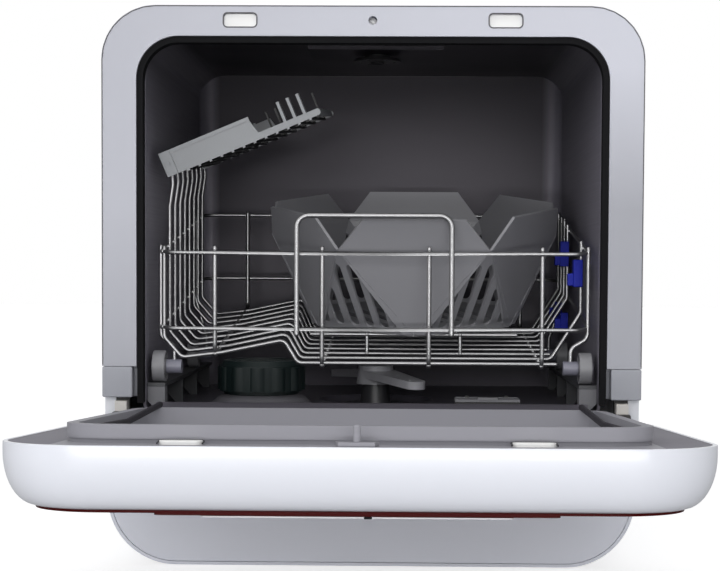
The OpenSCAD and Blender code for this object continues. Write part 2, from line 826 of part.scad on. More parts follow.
module door_place() {
  translate([0, hinge_y, hinge_z]) rotate([door_open, 0, 0]) children();
}

// The edge of the door from its rim to its front, as points of depth and inset
function edge_curve(inset) = let(start = 6, run_in = 19.4, deep = door_t - start)
  [for (a = [0 : 7.5 : 75]) [-run_in * (1 - cos(a)) - inset, start + deep * sin(a) - inset * sin(a)]];

module door_edge_profile() {
  polygon(concat([[-22, 0], [0, 0]], edge_curve(0), [[-18, door_t], [-22, door_t]]));
}

module door_shell() {
  h = door_top + door_heel;
  inner_w = door_w - 2 * door_wall;
  color("white") door_place() translate([0, -rim_sink, -door_heel]) difference() {
    rotate([90, 0, 0]) {
      rim_sweep(door_w, h, door_low_r, door_top_r) door_edge_profile();
      translate([0, 20]) linear_extrude(door_t)
        soft_rect(door_w - 40, h - 40, door_low_r - 20, door_top_r - 20);
    }
    translate([0, 0, door_wall]) upright(rim_sink + liner_proud - liner_t, 1)
      soft_rect(inner_w, h - 2 * door_wall, door_low_r - door_wall, door_top_r - door_wall);
    translate([0, 0, 11]) upright(-16, 1)
      soft_rect(door_w - 22, h - 22, door_low_r - 11, door_top_r - 11);
    translate([0, 0, 24]) upright(-door_t + door_wall, 1)
      soft_rect(door_w - 48, h - 48, 12, door_top_r - 24);
    door_notches(door_heel);
  }
}

// The two corner notches that let the fixed ears pass while the door swings
module door_notches(lift) {
  for (s = [-1, 1]) translate([s * ear_x - ear_t / 2 - 1, -notch_r, -1])
    cube([ear_t + 2, notch_r + 10, lift + 1 + notch_r]);
}

module door_front_panel() {
  inset = 19;
  h = door_top + door_heel - 2 * inset;
  face = -door_t - rim_sink - gap;
  color("darkred") door_place() translate([0, 0, inset - door_heel]) {
    upright(face - panel_t, face)
      soft_rect(door_w - 2 * inset, h, door_low_r - 12, door_top_r - 16);
    translate([0, 0, h - field_h]) upright(face - panel_t - field_t, face - panel_t + 0.4)
      soft_rect(field_w, field_h, 8, 3);
  }
}

// The light trim strip let into the raised field, with a dark sensor window beside its middle
module panel_trim() {
  inset = 19;
  face = -door_t - rim_sink - gap - panel_t - field_t;
  color("silver") door_place() translate([0, 0, door_top - inset - 14]) upright(face - 0.8 - gap, face - gap)
    difference() {
      soft_rect(182, 14, 3, 3);
      translate([4, 4]) square([5, 12]);
    }
}

module liner_step_profile() {
  wall = 2.5;
  back = -7 - basin_slope;
  low = step_h - basin_d;
  polygon([[-1.2, -liner_t], [-1.2, skirt_h], [0, skirt_h], [0, step_h], [-7, step_h], [back, low],
    [back - wall, low], [back - wall, low - wall], [back + 1, low - wall], [-wall - 4, -liner_t]]);
}

module door_liner() {
  h = door_top + door_heel - 2 * liner_edge;
  step_l = step_high - step_low;
  floor_y = liner_proud + step_h - basin_d;
  basin_in = 7 + basin_slope + 1;
  color("gray") door_place() difference() {
    union() {
      translate([0, 0, liner_edge - door_heel]) upright(liner_proud - liner_t, liner_proud) difference() {
        soft_rect(door_w - 2 * liner_edge, h, door_low_r - liner_edge, door_top_r - liner_edge);
        translate([0, step_low + door_heel - liner_edge + 4])
          soft_rect(step_w - 8, step_l - 8, step_r - 4, step_r - 4);
      }
      translate([0, liner_proud, step_low]) rotate([90, 0, 0]) mirror([0, 0, 1])
        rim_sweep(step_w, step_l, step_r, step_r) liner_step_profile();
      translate([0, 0, step_low + basin_in]) upright(floor_y - 2.5, floor_y)
        soft_rect(step_w - 2 * basin_in, step_l - 2 * basin_in, step_r - basin_in, step_r - basin_in);
      for (s = [0, 1]) mirror([s, 0, 0]) translate([ear_x - boss_x - 1, 0, 0]) rotate([0, 90, 0])
        cylinder(boss_x + 1 - ear_t / 2 - 1.3, pin_r + 2.1, pin_r + 2.1);
    }
    translate([0, 0, -door_heel]) door_notches(door_heel);
    strike_places() strike_outline(0, 4);
    for (s = [-1, 1]) translate([s * (ear_x - boss_x), 0, 0]) rotate([0, s * 90, 0])
      cylinder(boss_x, pin_r, pin_r);
  }
}

// Puts its children on the liner in front of the step, where the two strikes stand
module strike_places() {
  for (s = [-1, 1]) translate([s * slot_x, liner_proud - 0.6, step_high + 9]) children();
}

module strike_outline(shrink, h) {
  rotate([-90, 0, 0]) linear_extrude(h) flat_slot(26 - 2 * shrink, 10 - 2 * shrink);
}

// A flat slot with round ends, centred, along x
module flat_slot(l, w) {
  square([l - w, w], center = true);
  for (s = [-1, 1]) translate([s * (l - w) / 2, 0]) circle(w / 2);
}

module door_seal() {
  color("black") door_place() translate([0, liner_proud, 1.5]) rotate([90, 0, 0]) mirror([0, 0, 1])
    translate([0, 0, gap]) difference() {
      linear_extrude(1.6) square([mouth_w - 6, 4], center = true);
      translate([0, 0, 0.8]) linear_extrude(2) square([mouth_w - 10, 1.4], center = true);
    }
}

module latch_pin() {
  pin = 2.2;
  l = 11.5;
  color("silver") door_place() translate([0, liner_proud, slot_z - hinge_z]) rotate([-90, 0, 0]) {
    cylinder(l, pin, pin);
    translate([0, 0, l]) cylinder(1, pin, pin - 0.8);
    translate([0, 0, gap]) linear_extrude(2.4) difference() {
      polygon([[-12.7, 6], [12.7, 6], [10.5, -6], [-10.5, -6]]);
      circle(pin - 0.5);
    }
  }
}

module strike_blocks() {
  color("white") door_place() strike_places() strike_outline(gap, 3);
}

// The pins stand out of bosses on the liner and run through the ears of the brackets
module hinge_pins() {
  color("silver") door_place() for (s = [0, 1]) mirror([s, 0, 0])
    translate([ear_x - boss_x, 0, 0]) rotate([0, 90, 0]) cylinder(boss_x + ear_t / 2 + 1, pin_r, pin_r);
}

// ---- Rack ----

// A closed wire loop with round corners, rising towards the back
module rail_loop(z) {
  rise = cos(rail_slope);
  l = rack_d / rise;
  c = rail_corner;
  translate([rack_x, rack_front, z]) rotate([rail_slope, 0, 0]) {
    for (s = [-1, 1]) {
      translate([s * rack_w / 2, c, 0]) rotate([-90, 0, 0]) cylinder(l - 2 * c, rail_r, rail_r);
      translate([s * (rack_w / 2 - c), c, 0]) rotate([0, 0, s > 0 ? 270 : 180])
        rotate_extrude(angle = 90) translate([c, 0]) circle(rail_r);
      translate([s * (rack_w / 2 - c), l - c, 0]) rotate([0, 0, s > 0 ? 0 : 90])
        rotate_extrude(angle = 90) translate([c, 0]) circle(rail_r);
    }
    for (y = [0, l]) translate([c - rack_w / 2, y, 0]) rotate([0, 90, 0])
      cylinder(rack_w - 2 * c, rail_r, rail_r);
  }
}

module rack_rails() {
  color("silver") for (z = [rail_lo_z, rail_hi_z]) rail_loop(z);
}

module rack_long_wires() {
  lap = rail_r + post_r - 0.3;
  y0 = rack_front + lap;
  y1 = rack_front + rack_d - lap;
  under = wire_r + post_r - 0.3;
  bend = 9;
  color("silver") {
    for (x = upright_x) {
      za = rack_floor(y0) + floor_lift(x, y0) - under;
      zb = rack_floor(y1) + floor_lift(x, y1) - under;
      wire_along(x, [[y0, rail_hi(y0) + 3.5], [y0, za], [y1, zb], [y1, rail_hi(y1) + 2]], post_r, bend);
    }
    for (s = [-1, 1], y = [wheel_front_y, wheel_rear_y]) {
      side = rack_x + s * rack_w / 2;
      wire_across(y, [[side, rail_hi(y) + 3.5], [side, rail_lo(y) - 8], [s * hub_x, wheel_z + 16],
        [s * hub_x, wheel_z + 4]], post_r, 5);
    }
  }
}

module rack_side_wires() {
  color("silver") for (k = [0 : floor_rows - 1]) {
    y = row_y(k);
    rod_z = shelf_z + (y - shelf_y0) * tan(shelf_rise);
    top = k == 0 ? rail_hi(y) + 3 : rod_z - shelf_pin_r + 0.3;
    head = k == 0 ? [[wire_left, top]] : [[shelf_x, top], [shelf_x + 1, top - 16], [wire_left, top - 34]];
    wire_across(y, concat(head, [[wire_left, left_foot(k) - 1]]), wire_r, 7);
  }
}

module rack_floor_wires() {
  color("silver") for (k = [0 : floor_rows - 1]) {
    y = row_y(k);
    z = rack_floor(y);
    up = raised(y);
    bevel = [[wire_right - bevel_w, z], [wire_right, z + bevel_h], [wire_right, z + bevel_h + 6]];
    tail = has(stub_rows, k) ? [[stub_x, z]] : bevel;
    head = [[wire_left, left_foot(k) + 1], [wire_left, left_foot(k) - 6], [wire_left + 14, z + 4 + up]];
    hump = [[hump_x - 49, z + 8 + up], [hump_x, z + hump_h + 1 + up], [hump_x + 11, z]];
    wire_across(y, concat(head, hump, tail), wire_r, 6);
  }
  color("silver") for (k = stand_rows) {
    y = row_y(k);
    bar_z = stand_z(y);
    translate([insert_x - stand_l / 2, y, bar_z]) rotate([0, 90, 0]) cylinder(stand_l, wire_r, wire_r);
    for (s = [-1, 1]) translate([insert_x + s * stand_post, y, rack_floor(y)])
      cylinder(bar_z - rack_floor(y), wire_r, wire_r);
  }
}

module rack_right_wires() {
  color("silver") for (k = [0 : floor_rows - 1]) if (!has(stub_rows, k)) {
    y = row_y(k);
    z = rack_floor(y) + bevel_h + 5;
    translate([wire_right, y, z]) cylinder(rail_hi(y) + 5 - z, wire_r, wire_r);
  }
}

module shelf_rod() {
  color("silver") translate([shelf_x, shelf_y0, shelf_z]) rotate([shelf_rise - 90, 0, 0])
    translate([0, 0, -3]) cylinder(shelf_d + 6, shelf_pin_r, shelf_pin_r);
}

module rack_handle() {
  y = rack_front - rail_r - grip_r + 0.3;
  r = 9.5;
  foot = rail_lo_z - 4;
  color("silver") translate([1.6, y, 0]) {
    for (s = [-1, 1]) {
      translate([s * handle_w / 2, 0, foot]) cylinder(handle_z - r - foot, grip_r, grip_r);
      translate([s * (handle_w / 2 - r), 0, handle_z - r]) rotate([90, s > 0 ? 0 : -90, 0])
        rotate_extrude(angle = 90) translate([r, 0]) circle(grip_r);
    }
    translate([r - handle_w / 2, 0, handle_z]) rotate([0, 90, 0]) cylinder(handle_w - 2 * r, grip_r, grip_r);
  }
}

module wheel_hubs() {
  axle_r = 3;
  head = 4.5;
  color("lightsteelblue") for (s = [-1, 1], y = [wheel_front_y, wheel_rear_y])
    translate([0, y, wheel_z]) rotate([0, s * 90, 0]) {
      translate([0, 0, hub_x - 6]) cylinder(12 - gap + 0.4, 5.6, 5.6);
      translate([0, 0, hub_x + 5]) cylinder(wheel_w + 2.5, axle_r, axle_r);
      translate([0, 0, wheel_x + wheel_w / 2 + gap]) cylinder(1.2, head, head);
    }
}

module rack_wheel(side, y) {
  axle_r = 3;
  color("gray") translate([side * wheel_x, y, wheel_z]) rotate([0, side * 90, 0]) difference() {
    translate([0, 0, -wheel_w / 2]) cylinder(wheel_w, wheel_r, wheel_r, $fn = 96);
    translate([0, 0, -wheel_w]) cylinder(2 * wheel_w, axle_r + run, axle_r + run);
    translate([0, 0, -wheel_w / 2 - 1]) difference() {
      cylinder(3, wheel_r - 2.2, wheel_r - 2.2);
      translate([0, 0, -1]) cylinder(5, 6, 6);
    }
  }
}

module wheel_front_left() { rack_wheel(-1, wheel_front_y); }
module wheel_front_right() { rack_wheel(1, wheel_front_y); }
module wheel_rear_left() { rack_wheel(-1, wheel_rear_y); }
module wheel_rear_right() { rack_wheel(1, wheel_rear_y); }

// Blue clips on the right side: each has a body on its wire and a tongue towards the rack
module height_clips() {
  w = 7.4;
  x = wire_right + 0.8 - w;
  color("mediumblue") {
    for (k = [1, 5]) translate([0, row_y(k), rail_hi(row_y(k)) - 31]) {
      translate([x, -6, 0]) cube([w, 12, 22]);
      translate([x - 4.5, -4, 1]) cube([5, 8, 10]);
    }
    for (k = [5, 7]) translate([0, row_y(k), rail_lo(row_y(k)) - 27]) {
      translate([x + 1, -5, 0]) cube([w - 1, 10, 15]);
      translate([x - 4, -4, 1]) cube([5.5, 8, 9]);
    }
  }
}

// ---- Cup shelf ----

module shelf_place() {
  translate([shelf_x, shelf_y0, shelf_z]) rotate([shelf_rise, 0, 0]) rotate([0, -shelf_tilt, 0]) children();
}

module shelf_tray() {
  wall = 2;
  bottom = -shelf_h / 2;
  color("darkgray") shelf_place() difference() {
    union() {
      for (y = [0, shelf_d - wall]) translate([0, y + wall, 0]) rotate([90, 0, 0]) linear_extrude(wall) {
        polygon([[-4.5, bottom], [shelf_l - shelf_low, bottom], [shelf_l - shelf_low, bottom + shelf_low],
          [tall_end, bottom + shelf_low], [tall_end - 4, -bottom], [-4.5, -bottom]]);
        translate([shelf_l - shelf_low, bottom + shelf_low / 2]) circle(shelf_low / 2);
      }
      translate([-4.5, -2, bottom]) cube([9, 6, shelf_h]);
      translate([-4.5, -0.8, -bottom - 3]) cube([tall_end + 1.5, 2, 3]);
      translate([-4.5, shelf_d - 4, bottom]) cube([9, 4, shelf_h]);
      translate([6.5, 1, 2]) cube([wall, shelf_d - 2, -bottom - 2]);
      translate([shelf_l - 3 * wall, 1, bottom]) cube([wall, shelf_d - 2, shelf_low]);
      translate([tall_end - 1, 1, bottom]) cube([wall, shelf_d - 2, shelf_low]);
      for (x = slat_x) translate([x, 0, bottom - 1.3]) cube([2, 2, 2.4]);
      for (i = [2 : 4]) translate([tall_end + 5 + i * fin_pitch, 1, bottom + 1])
        cube([2.4, 12, shelf_h + 1]);
      for (x = [14 : 8.3 : tall_end - 14]) translate([x, shelf_d - wall, -bottom - 0.5]) cube([2, wall, 2]);
    }
    translate([0, -5, 0]) rotate([-90, 0, 0]) cylinder(shelf_d + 10, shelf_pin_r + run, shelf_pin_r + run);
  }
}

// The dark slats of the shelf and the fins that stand on them farther back
module shelf_grille() {
  bottom = -shelf_h / 2;
  color("black") shelf_place() {
    for (x = slat_x) translate([x, 2.5, bottom - 1]) cube([2.2, shelf_d - 5, 2.4]);
    for (y = [shelf_d / 3, 2 * shelf_d / 3]) translate([7, y, bottom]) cube([shelf_l - 13, 3, 1.4]);
    for (i = [0, 1, 5]) translate([tall_end + 5 + i * fin_pitch, shelf_d / 3, bottom])
      cube([1.4, 3, shelf_h + 1]);
  }
}

// ---- Petal insert ----

module petal() {
  apothem = petal_r * cos(30);
  lean = atan((apothem - petal_floor_r) / petal_h);
  l = petal_h / cos(lean);
  half = petal_r / 2;
  translate([0, -petal_floor_r, 0]) rotate([90 + lean, 0, 0]) linear_extrude(petal_t)
    polygon([[-9, 0], [9, 0], [half + 1, l], [-half - 1, l]]);
  translate([0, -apothem, petal_h]) rotate([90 + flap_lean, 0, 0]) linear_extrude(petal_t)
    polygon([[-half - 1, -1], [half + 1, -1], [0.68 * half, flap_l], [-0.68 * half, flap_l]]);
}

module corner_panel() {
  apothem = petal_floor_r * cos(30);
  lean = atan((petal_r - apothem) / petal_h);
  l = petal_h / cos(lean);
  half = petal_floor_r / 2 + 1.5;
  n = 6;
  pitch = 2 * half / (n + 0.6);
  translate([0, -apothem, 0]) rotate([90 + lean, 0, 0]) linear_extrude(petal_t) difference() {
    polygon([[-half, 0], [half, 0], [1.5, l], [-1.5, l]]);
    for (i = [0 : n - 1]) {
      x = (i - (n - 1) / 2) * pitch;
      top = l * (1 - abs(x) / half) - 5;
      if (top > 8) translate([x, 4]) round_slot(pitch * 0.6, top);
    }
  }
}

module insert_place() {
  translate([insert_x, insert_y, insert_z]) rotate([insert_tilt, 0, 0]) children();
}

module petal_insert() {
  color("gray") insert_place() for (k = [0 : 5]) rotate([0, 0, 60 * k]) petal();
}

module insert_grilles() {
  color("gray") insert_place() for (k = [0 : 5]) rotate([0, 0, 60 * k + 30]) corner_panel();
}

module insert_base() {
  slots = [-48, -32, -16, 0, 16, 32, 48];
  color("gray") {
    insert_place() rotate([0, 0, 30]) difference() {
      translate([0, 0, -petal_t]) cylinder(petal_t + 0.4, petal_floor_r + 1, petal_floor_r + 1, $fn = 6);
      for (x = slots) translate([x, -48, -petal_t - 1]) linear_extrude(petal_t + 2) round_slot(8, 96);
    }
  }
}

cabinet_shell();
rear_panel();
base_pan();
base_front();
feet();
front_frame();
frame_end_left();
frame_end_right();
tub();
tub_gasket();
wheel_tracks();
track_blocks();
hinge_brackets();
hinge_blocks();
catch_blocks();
latch_switch();
salt_neck();
spray_hub();
sump();
nozzle_holder();
detergent_box();
wash_pump();
drain_pump();
heater();
water_tank();
control_board();
door_shell();
door_front_panel();
panel_trim();
door_liner();
door_seal();
latch_pin();
strike_blocks();
hinge_pins();
rack_rails();
rack_long_wires();
rack_side_wires();
rack_floor_wires();
rack_right_wires();
shelf_rod();
rack_handle();
wheel_hubs();
height_clips();
wheel_front_left();
wheel_front_right();
wheel_rear_left();
wheel_rear_right();
shelf_tray();
shelf_grille();
petal_insert();
insert_grilles();
insert_base();
lower_spray_arm();
top_nozzle();
salt_cap();
detergent_lid();
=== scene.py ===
import math

import bpy
from mathutils import Matrix, Vector


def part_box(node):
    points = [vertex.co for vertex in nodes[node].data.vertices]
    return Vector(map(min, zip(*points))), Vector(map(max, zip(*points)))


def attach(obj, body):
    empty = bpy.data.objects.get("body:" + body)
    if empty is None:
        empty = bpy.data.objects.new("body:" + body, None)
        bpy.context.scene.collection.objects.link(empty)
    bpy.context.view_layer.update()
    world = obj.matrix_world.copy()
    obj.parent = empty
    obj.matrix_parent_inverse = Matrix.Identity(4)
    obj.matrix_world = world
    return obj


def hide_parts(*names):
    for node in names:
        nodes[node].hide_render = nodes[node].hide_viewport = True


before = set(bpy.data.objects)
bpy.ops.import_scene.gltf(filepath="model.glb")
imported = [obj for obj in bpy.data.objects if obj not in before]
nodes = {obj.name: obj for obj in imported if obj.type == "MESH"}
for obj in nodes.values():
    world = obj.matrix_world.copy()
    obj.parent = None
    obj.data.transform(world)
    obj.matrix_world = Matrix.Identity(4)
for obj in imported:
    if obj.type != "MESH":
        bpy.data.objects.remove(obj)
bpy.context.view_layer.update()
scene = bpy.context.scene
scene.view_settings.view_transform = "Standard"

# ---- Studio ----
# A white studio table under soft boxes. The camera stands 1.2 m in front of the open
# machine at the height of its mouth, with a long lens that is shifted like a view camera's.
lens_mm, sensor_mm, lens_shift_x, lens_shift_y = 76.232, 36.0, -0.0372, 0.0731
camera_at = Vector((0.03026, -1.37999, 0.22971))
camera_yaw, camera_pitch, camera_roll = (math.radians(angle) for angle in (0.881, 2.471, 0.309))

lens = bpy.data.cameras.new("studio_camera")
lens.lens, lens.sensor_width = lens_mm, sensor_mm
lens.shift_x, lens.shift_y = lens_shift_x, lens_shift_y
camera = bpy.data.objects.new("studio_camera", lens)
camera.matrix_world = (Matrix.Translation(camera_at) @ Matrix.Rotation(camera_yaw, 4, "Z")
                       @ Matrix.Rotation(math.pi / 2 - camera_pitch, 4, "X")
                       @ Matrix.Rotation(camera_roll, 4, "Z"))
scene.collection.objects.link(camera)
scene.camera = camera


class Value:
    """A number in a material's node tree. Arithmetic on it adds Math nodes."""

    def __init__(self, tree, socket):
        self.tree, self.socket = tree, socket

    def math(self, operation, *operands):
        node = self.tree.nodes.new("ShaderNodeMath")
        node.operation = operation
        for slot, operand in enumerate(operands):
            if isinstance(operand, Value):
                self.tree.links.new(operand.socket, node.inputs[slot])
            else:
                node.inputs[slot].default_value = operand
        return Value(self.tree, node.outputs[0])

    def __add__(self, other):
        return self.math("ADD", self, other)

    def __sub__(self, other):
        return self.math("SUBTRACT", self, other)

    def __rsub__(self, other):
        return self.math("SUBTRACT", other, self)

    def __mul__(self, other):
        return self.math("MULTIPLY", self, other)

    def __abs__(self):
        return self.math("ABSOLUTE", self)

    def __gt__(self, other):
        return self.math("GREATER_THAN", self, other)

    __radd__, __rmul__ = __add__, __mul__


class Finish:
    """A material in the making. The constants go on its shader, and add() makes any other node."""

    def __init__(self, name, constants=None):
        self.material = bpy.data.materials.new(name)
        self.material.use_nodes = True
        self.tree = self.material.node_tree
        self.tree.nodes.clear()
        output = self.tree.nodes.new("ShaderNodeOutputMaterial")
        self.shader = self.tree.nodes.new("ShaderNodeBsdfPrincipled")
        self.tree.links.new(self.shader.outputs[0], output.inputs["Surface"])
        for socket, constant in (constants or {}).items():
            self.shader.inputs[socket].default_value = constant
        self.place = self.add("ShaderNodeTexCoord", output="Object")

    def add(self, kind, settings=None, sockets=None, output=0):
        node = self.tree.nodes.new(kind)
        for name, setting in (settings or {}).items():
            setattr(node, name, setting)
        for name, value in (sockets or {}).items():
            if isinstance(value, Value):
                self.tree.links.new(value.socket, node.inputs[name])
            else:
                node.inputs[name].default_value = value
        return Value(self.tree, node.outputs[output])

    def feed(self, **links):
        for socket, value in links.items():
            self.tree.links.new(value.socket, self.shader.inputs[socket.replace("_", " ").title()])

    def noise(self, per_m, detail=2.0, stretch=None):
        place = self.place
        if stretch:
            place = self.add("ShaderNodeMapping", None, {"Vector": place, "Scale": stretch})
        return self.add("ShaderNodeTexNoise", None, {"Vector": place, "Scale": per_m, "Detail": detail})

    def mix(self, factor, first, second):
        return self.add("ShaderNodeMix", {"data_type": "RGBA"}, {0: factor, 6: first, 7: second}, 2)

    def bump(self, height, depth):
        return self.add("ShaderNodeBump", None, {"Height": height, "Distance": depth}, "Normal")


table_half = 9.0
table_corners = [(x * table_half, y * table_half, 0.0) for x, y in ((-1, -1), (1, -1), (1, 1), (-1, 1))]
table_mesh = bpy.data.meshes.new("table_top")
table_mesh.from_pydata(table_corners, [], [(0, 1, 2, 3)])
table_top = bpy.data.objects.new("table_top", table_mesh)
scene.collection.objects.link(table_top)
table_dark, table_pale, table_glow = (0.45, 0.45, 0.46, 1), (0.49, 0.49, 0.49, 1), (0.70, 0.70, 0.70, 1)
black = (0, 0, 0, 1)
table_finish = Finish("table_white", {"Roughness": 0.65, "Emission Strength": 1.0})
mottle = table_finish.noise(38.0, 4.0) * 0.7 + table_finish.noise(900.0) * 0.3
seen = table_finish.add("ShaderNodeLightPath", output="Is Camera Ray")
table_finish.feed(base_color=table_finish.mix(mottle, table_dark, table_pale),
                  emission_color=table_finish.mix(seen, black, table_glow),
                  normal=table_finish.bump(mottle, 0.0001))
table_mesh.materials.append(table_finish.material)

room_strength, backdrop_strength = 0.42, 1.0
world = bpy.data.worlds.new("studio")
world.use_nodes = True
scene.world = world
backdrop = world.node_tree.nodes["Background"]
rays = world.node_tree.nodes.new("ShaderNodeLightPath")
seen_or_mirrored = world.node_tree.nodes.new("ShaderNodeMath")
seen_or_mirrored.operation = "MAXIMUM"
for slot, ray in enumerate(("Is Camera Ray", "Is Glossy Ray")):
    world.node_tree.links.new(rays.outputs[ray], seen_or_mirrored.inputs[slot])
strength = world.node_tree.nodes.new("ShaderNodeMix")
strength.data_type = "FLOAT"
strength.inputs["A"].default_value, strength.inputs["B"].default_value = room_strength, backdrop_strength
world.node_tree.links.new(seen_or_mirrored.outputs[0], strength.inputs["Factor"])
world.node_tree.links.new(strength.outputs["Result"], backdrop.inputs["Strength"])
backdrop.inputs["Color"].default_value = (1.0, 1.0, 1.0, 1.0)

# Each soft box: its place, what it points at, its width, height, watts and share of gleam.
soft_boxes = {
    "box_front": ((0.0, -2.5, 0.80), (0.0, -0.1, 0.25), 1.8, 0.9, 14.5, 0.3),
    "box_low": ((0.0, -2.2, 0.055), (0.0, -0.2, 0.05), 2.4, 0.08, 10.0, 0.0),
    "box_over": ((0.0, -0.7, 1.7), (0.0, -0.2, 0.2), 1.5, 1.2, 5.5, 1.0),
    "box_left": ((-1.7, -1.0, 0.9), (0.0, -0.1, 0.2), 0.9, 1.4, 6.0, 1.0),
    "box_right": ((1.7, -1.0, 0.9), (0.0, -0.1, 0.2), 0.9, 1.4, 1.2, 1.0),
}
for box_name, (place, target, width, height, watts, gleam) in soft_boxes.items():
    light = bpy.data.lights.new(box_name, "AREA")
    light.shape, light.size, light.size_y, light.energy = "RECTANGLE", width, height, watts
    light.specular_factor = gleam
    lamp = bpy.data.objects.new(box_name, light)
    lamp.location = place
    lamp.rotation_euler = (Vector(target) - Vector(place)).to_track_quat("-Z", "Y").to_euler()
    scene.collection.objects.link(lamp)


# ---- Cabinet ----
# A folded sheet-steel wrap, powder-coated white, stands on a silver-grey pan with a moulded
# front. The coat has a shallow orange peel, and four rubber plugs sit flush under the pan.
class Growth:
    def __init__(self, name, **inputs):
        self.tree = bpy.data.node_groups.new(name, "GeometryNodeTree")
        face = self.tree.interface
        face.new_socket(name="Geometry", in_out="INPUT", socket_type="NodeSocketGeometry")
        face.new_socket(name="Geometry", in_out="OUTPUT", socket_type="NodeSocketGeometry")
        self.keys = {}
        for label, default in inputs.items():
            socket = face.new_socket(name=label, in_out="INPUT", socket_type="NodeSocketFloat")
            socket.default_value = default
            self.keys[label] = socket.identifier
        socket = face.new_socket(name="Material", in_out="INPUT", socket_type="NodeSocketMaterial")
        self.keys["Material"] = socket.identifier
        self.given = self.tree.nodes.new("NodeGroupInput").outputs
        self.result = self.tree.nodes.new("NodeGroupOutput").inputs

    def add(self, kind, settings=None, sockets=None, output=0):
        node = self.tree.nodes.new(kind)
        for name, setting in (settings or {}).items():
            setattr(node, name, setting)
        for name, value in (sockets or {}).items():
            if isinstance(value, bpy.types.NodeSocket):
                self.tree.links.new(value, node.inputs[name])
            else:
                node.inputs[name].default_value = value
        return node.outputs[output]

    def finish(self, geometry):
        real = self.add("GeometryNodeRealizeInstances", None, {"Geometry": geometry})
        rounded = self.add("GeometryNodeSetShadeSmooth", None, {"Geometry": real})
        dressed = self.add("GeometryNodeSetMaterial", None,
                           {"Geometry": rounded, "Material": self.given["Material"]})
        self.tree.links.new(dressed, self.result["Geometry"])

    def grow(self, name, points, edges, finish, body, **sizes):
        """Runs the tree on points and edges and leaves one plain mesh that rides the body."""
        seed = bpy.data.meshes.new(name + "_seed")
        seed.from_pydata(points, edges, [])
        holder = bpy.data.objects.new(name + "_seed", seed)
        scene.collection.objects.link(holder)
        modifier = holder.modifiers.new("grow", "NODES")
        modifier.node_group = self.tree
        for label, size in sizes.items():
            modifier[self.keys[label]] = size
        modifier[self.keys["Material"]] = finish.material
        evaluated = holder.evaluated_get(bpy.context.evaluated_depsgraph_get())
        mesh = bpy.data.meshes.new_from_object(evaluated)
        mesh.name = name
        bpy.data.objects.remove(holder)
        piece = bpy.data.objects.new(name, mesh)
        scene.collection.objects.link(piece)
        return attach(piece, body)


facet_limit, weld_distance = math.radians(33), 0.00002
smoothing = Growth("smooth_faces")
welded = smoothing.add("GeometryNodeMergeByDistance", None,
                       {"Geometry": smoothing.given["Geometry"], "Distance": weld_distance})
plain = smoothing.add("GeometryNodeRemoveAttribute", None, {"Geometry": welded, "Name": "custom_normal"})
turn = smoothing.add("GeometryNodeInputMeshEdgeAngle", None, None, "Unsigned Angle")
fold = smoothing.add("FunctionNodeCompare", {"data_type": "FLOAT", "operation": "GREATER_THAN"},
                     {"A": turn, "B": facet_limit})
creased = smoothing.add("GeometryNodeSetShadeSmooth", {"domain": "EDGE"},
                        {"Geometry": plain, "Selection": fold, "Shade Smooth": False})
even = smoothing.add("GeometryNodeSetShadeSmooth", {"domain": "FACE"},
                     {"Geometry": creased, "Shade Smooth": True})
smoothing.tree.links.new(even, smoothing.result["Geometry"])


def smooth(*names):
    """Shades the small facets of a solid's curves as one surface and keeps its real edges."""
    for name in names:
        nodes[name].modifiers.new("smooth", "NODES").node_group = smoothing.tree


def soften(edge, *names):
    """Rounds the sharp edges of these pieces by a small radius, as a mould or a press leaves them."""
    edge_steps, edge_limit = 2, math.radians(38)
    smooth(*names)
    for name in names:
        bevel = nodes[name].modifiers.new("edge", "BEVEL")
        bevel.width, bevel.segments, bevel.angle_limit = edge, edge_steps, edge_limit
        bevel.harden_normals = True


def dress(finish, *names):
    for name in names:
        for slot in nodes[name].material_slots:
            slot.material = finish.material


def shade(colour, factor):
    return tuple(min(1.0, part * factor) for part in colour) + (1.0,)


def toned(finish, pattern, colour, spread):
    """A colour that goes a little darker and lighter with the pattern."""
    return finish.mix(pattern, shade(colour, 1 - spread), shade(colour, 1 + spread))


def swing(level, *patterns):
    """A number that swings about its level. Each pattern comes with the width of its swing."""
    lowest = level - sum(width for _, width in patterns) / 2
    return sum((pattern * width for pattern, width in patterns), lowest)


def powder_coat(name, colour, roughness):
    """Baked powder coat: a shallow orange peel, with a faint unevenness in tone and gloss."""
    cloud_per_m, peel_per_m, peel_depth, tone_spread = 7.0, 900.0, 0.00006, 0.03
    finish = Finish(name)
    cloud, peel = finish.noise(cloud_per_m, 3.0), finish.noise(peel_per_m)
    finish.feed(base_color=toned(finish, cloud, colour, tone_spread),
                roughness=swing(roughness, (cloud, 0.10), (peel, 0.06)),
                normal=finish.bump(peel, peel_depth))
    return finish


def moulded(name, colour, roughness, grain_per_m=2600.0, grain_depth=0.00005, tone_spread=0.04, gloss=0.5):
    """Injection-moulded plastic: a spark-eroded grain, and slow changes of tone along the part."""
    cloud_per_m, cloud_share, grain_share = 9.0, 0.7, 0.3
    finish = Finish(name, {"Specular IOR Level": gloss})
    cloud, grain = finish.noise(cloud_per_m, 3.0), finish.noise(grain_per_m, 3.0)
    finish.feed(base_color=toned(finish, cloud * cloud_share + grain * grain_share, colour, tone_spread),
                roughness=swing(roughness, (cloud, 0.12), (grain, 0.10)),
                normal=finish.bump(grain, grain_depth))
    return finish


dress(powder_coat("cabinet_white", (0.80, 0.82, 0.87), 0.38), "cabinet_shell")
smooth("cabinet_shell")
dress(moulded("base_silver", (0.75, 0.77, 0.85), 0.40, 3000.0, 0.00003, 0.03), "base_front", "base_pan")
soften(0.0008, "base_front")
dress(moulded("foot_rubber", (0.05, 0.05, 0.05), 0.8), "feet")

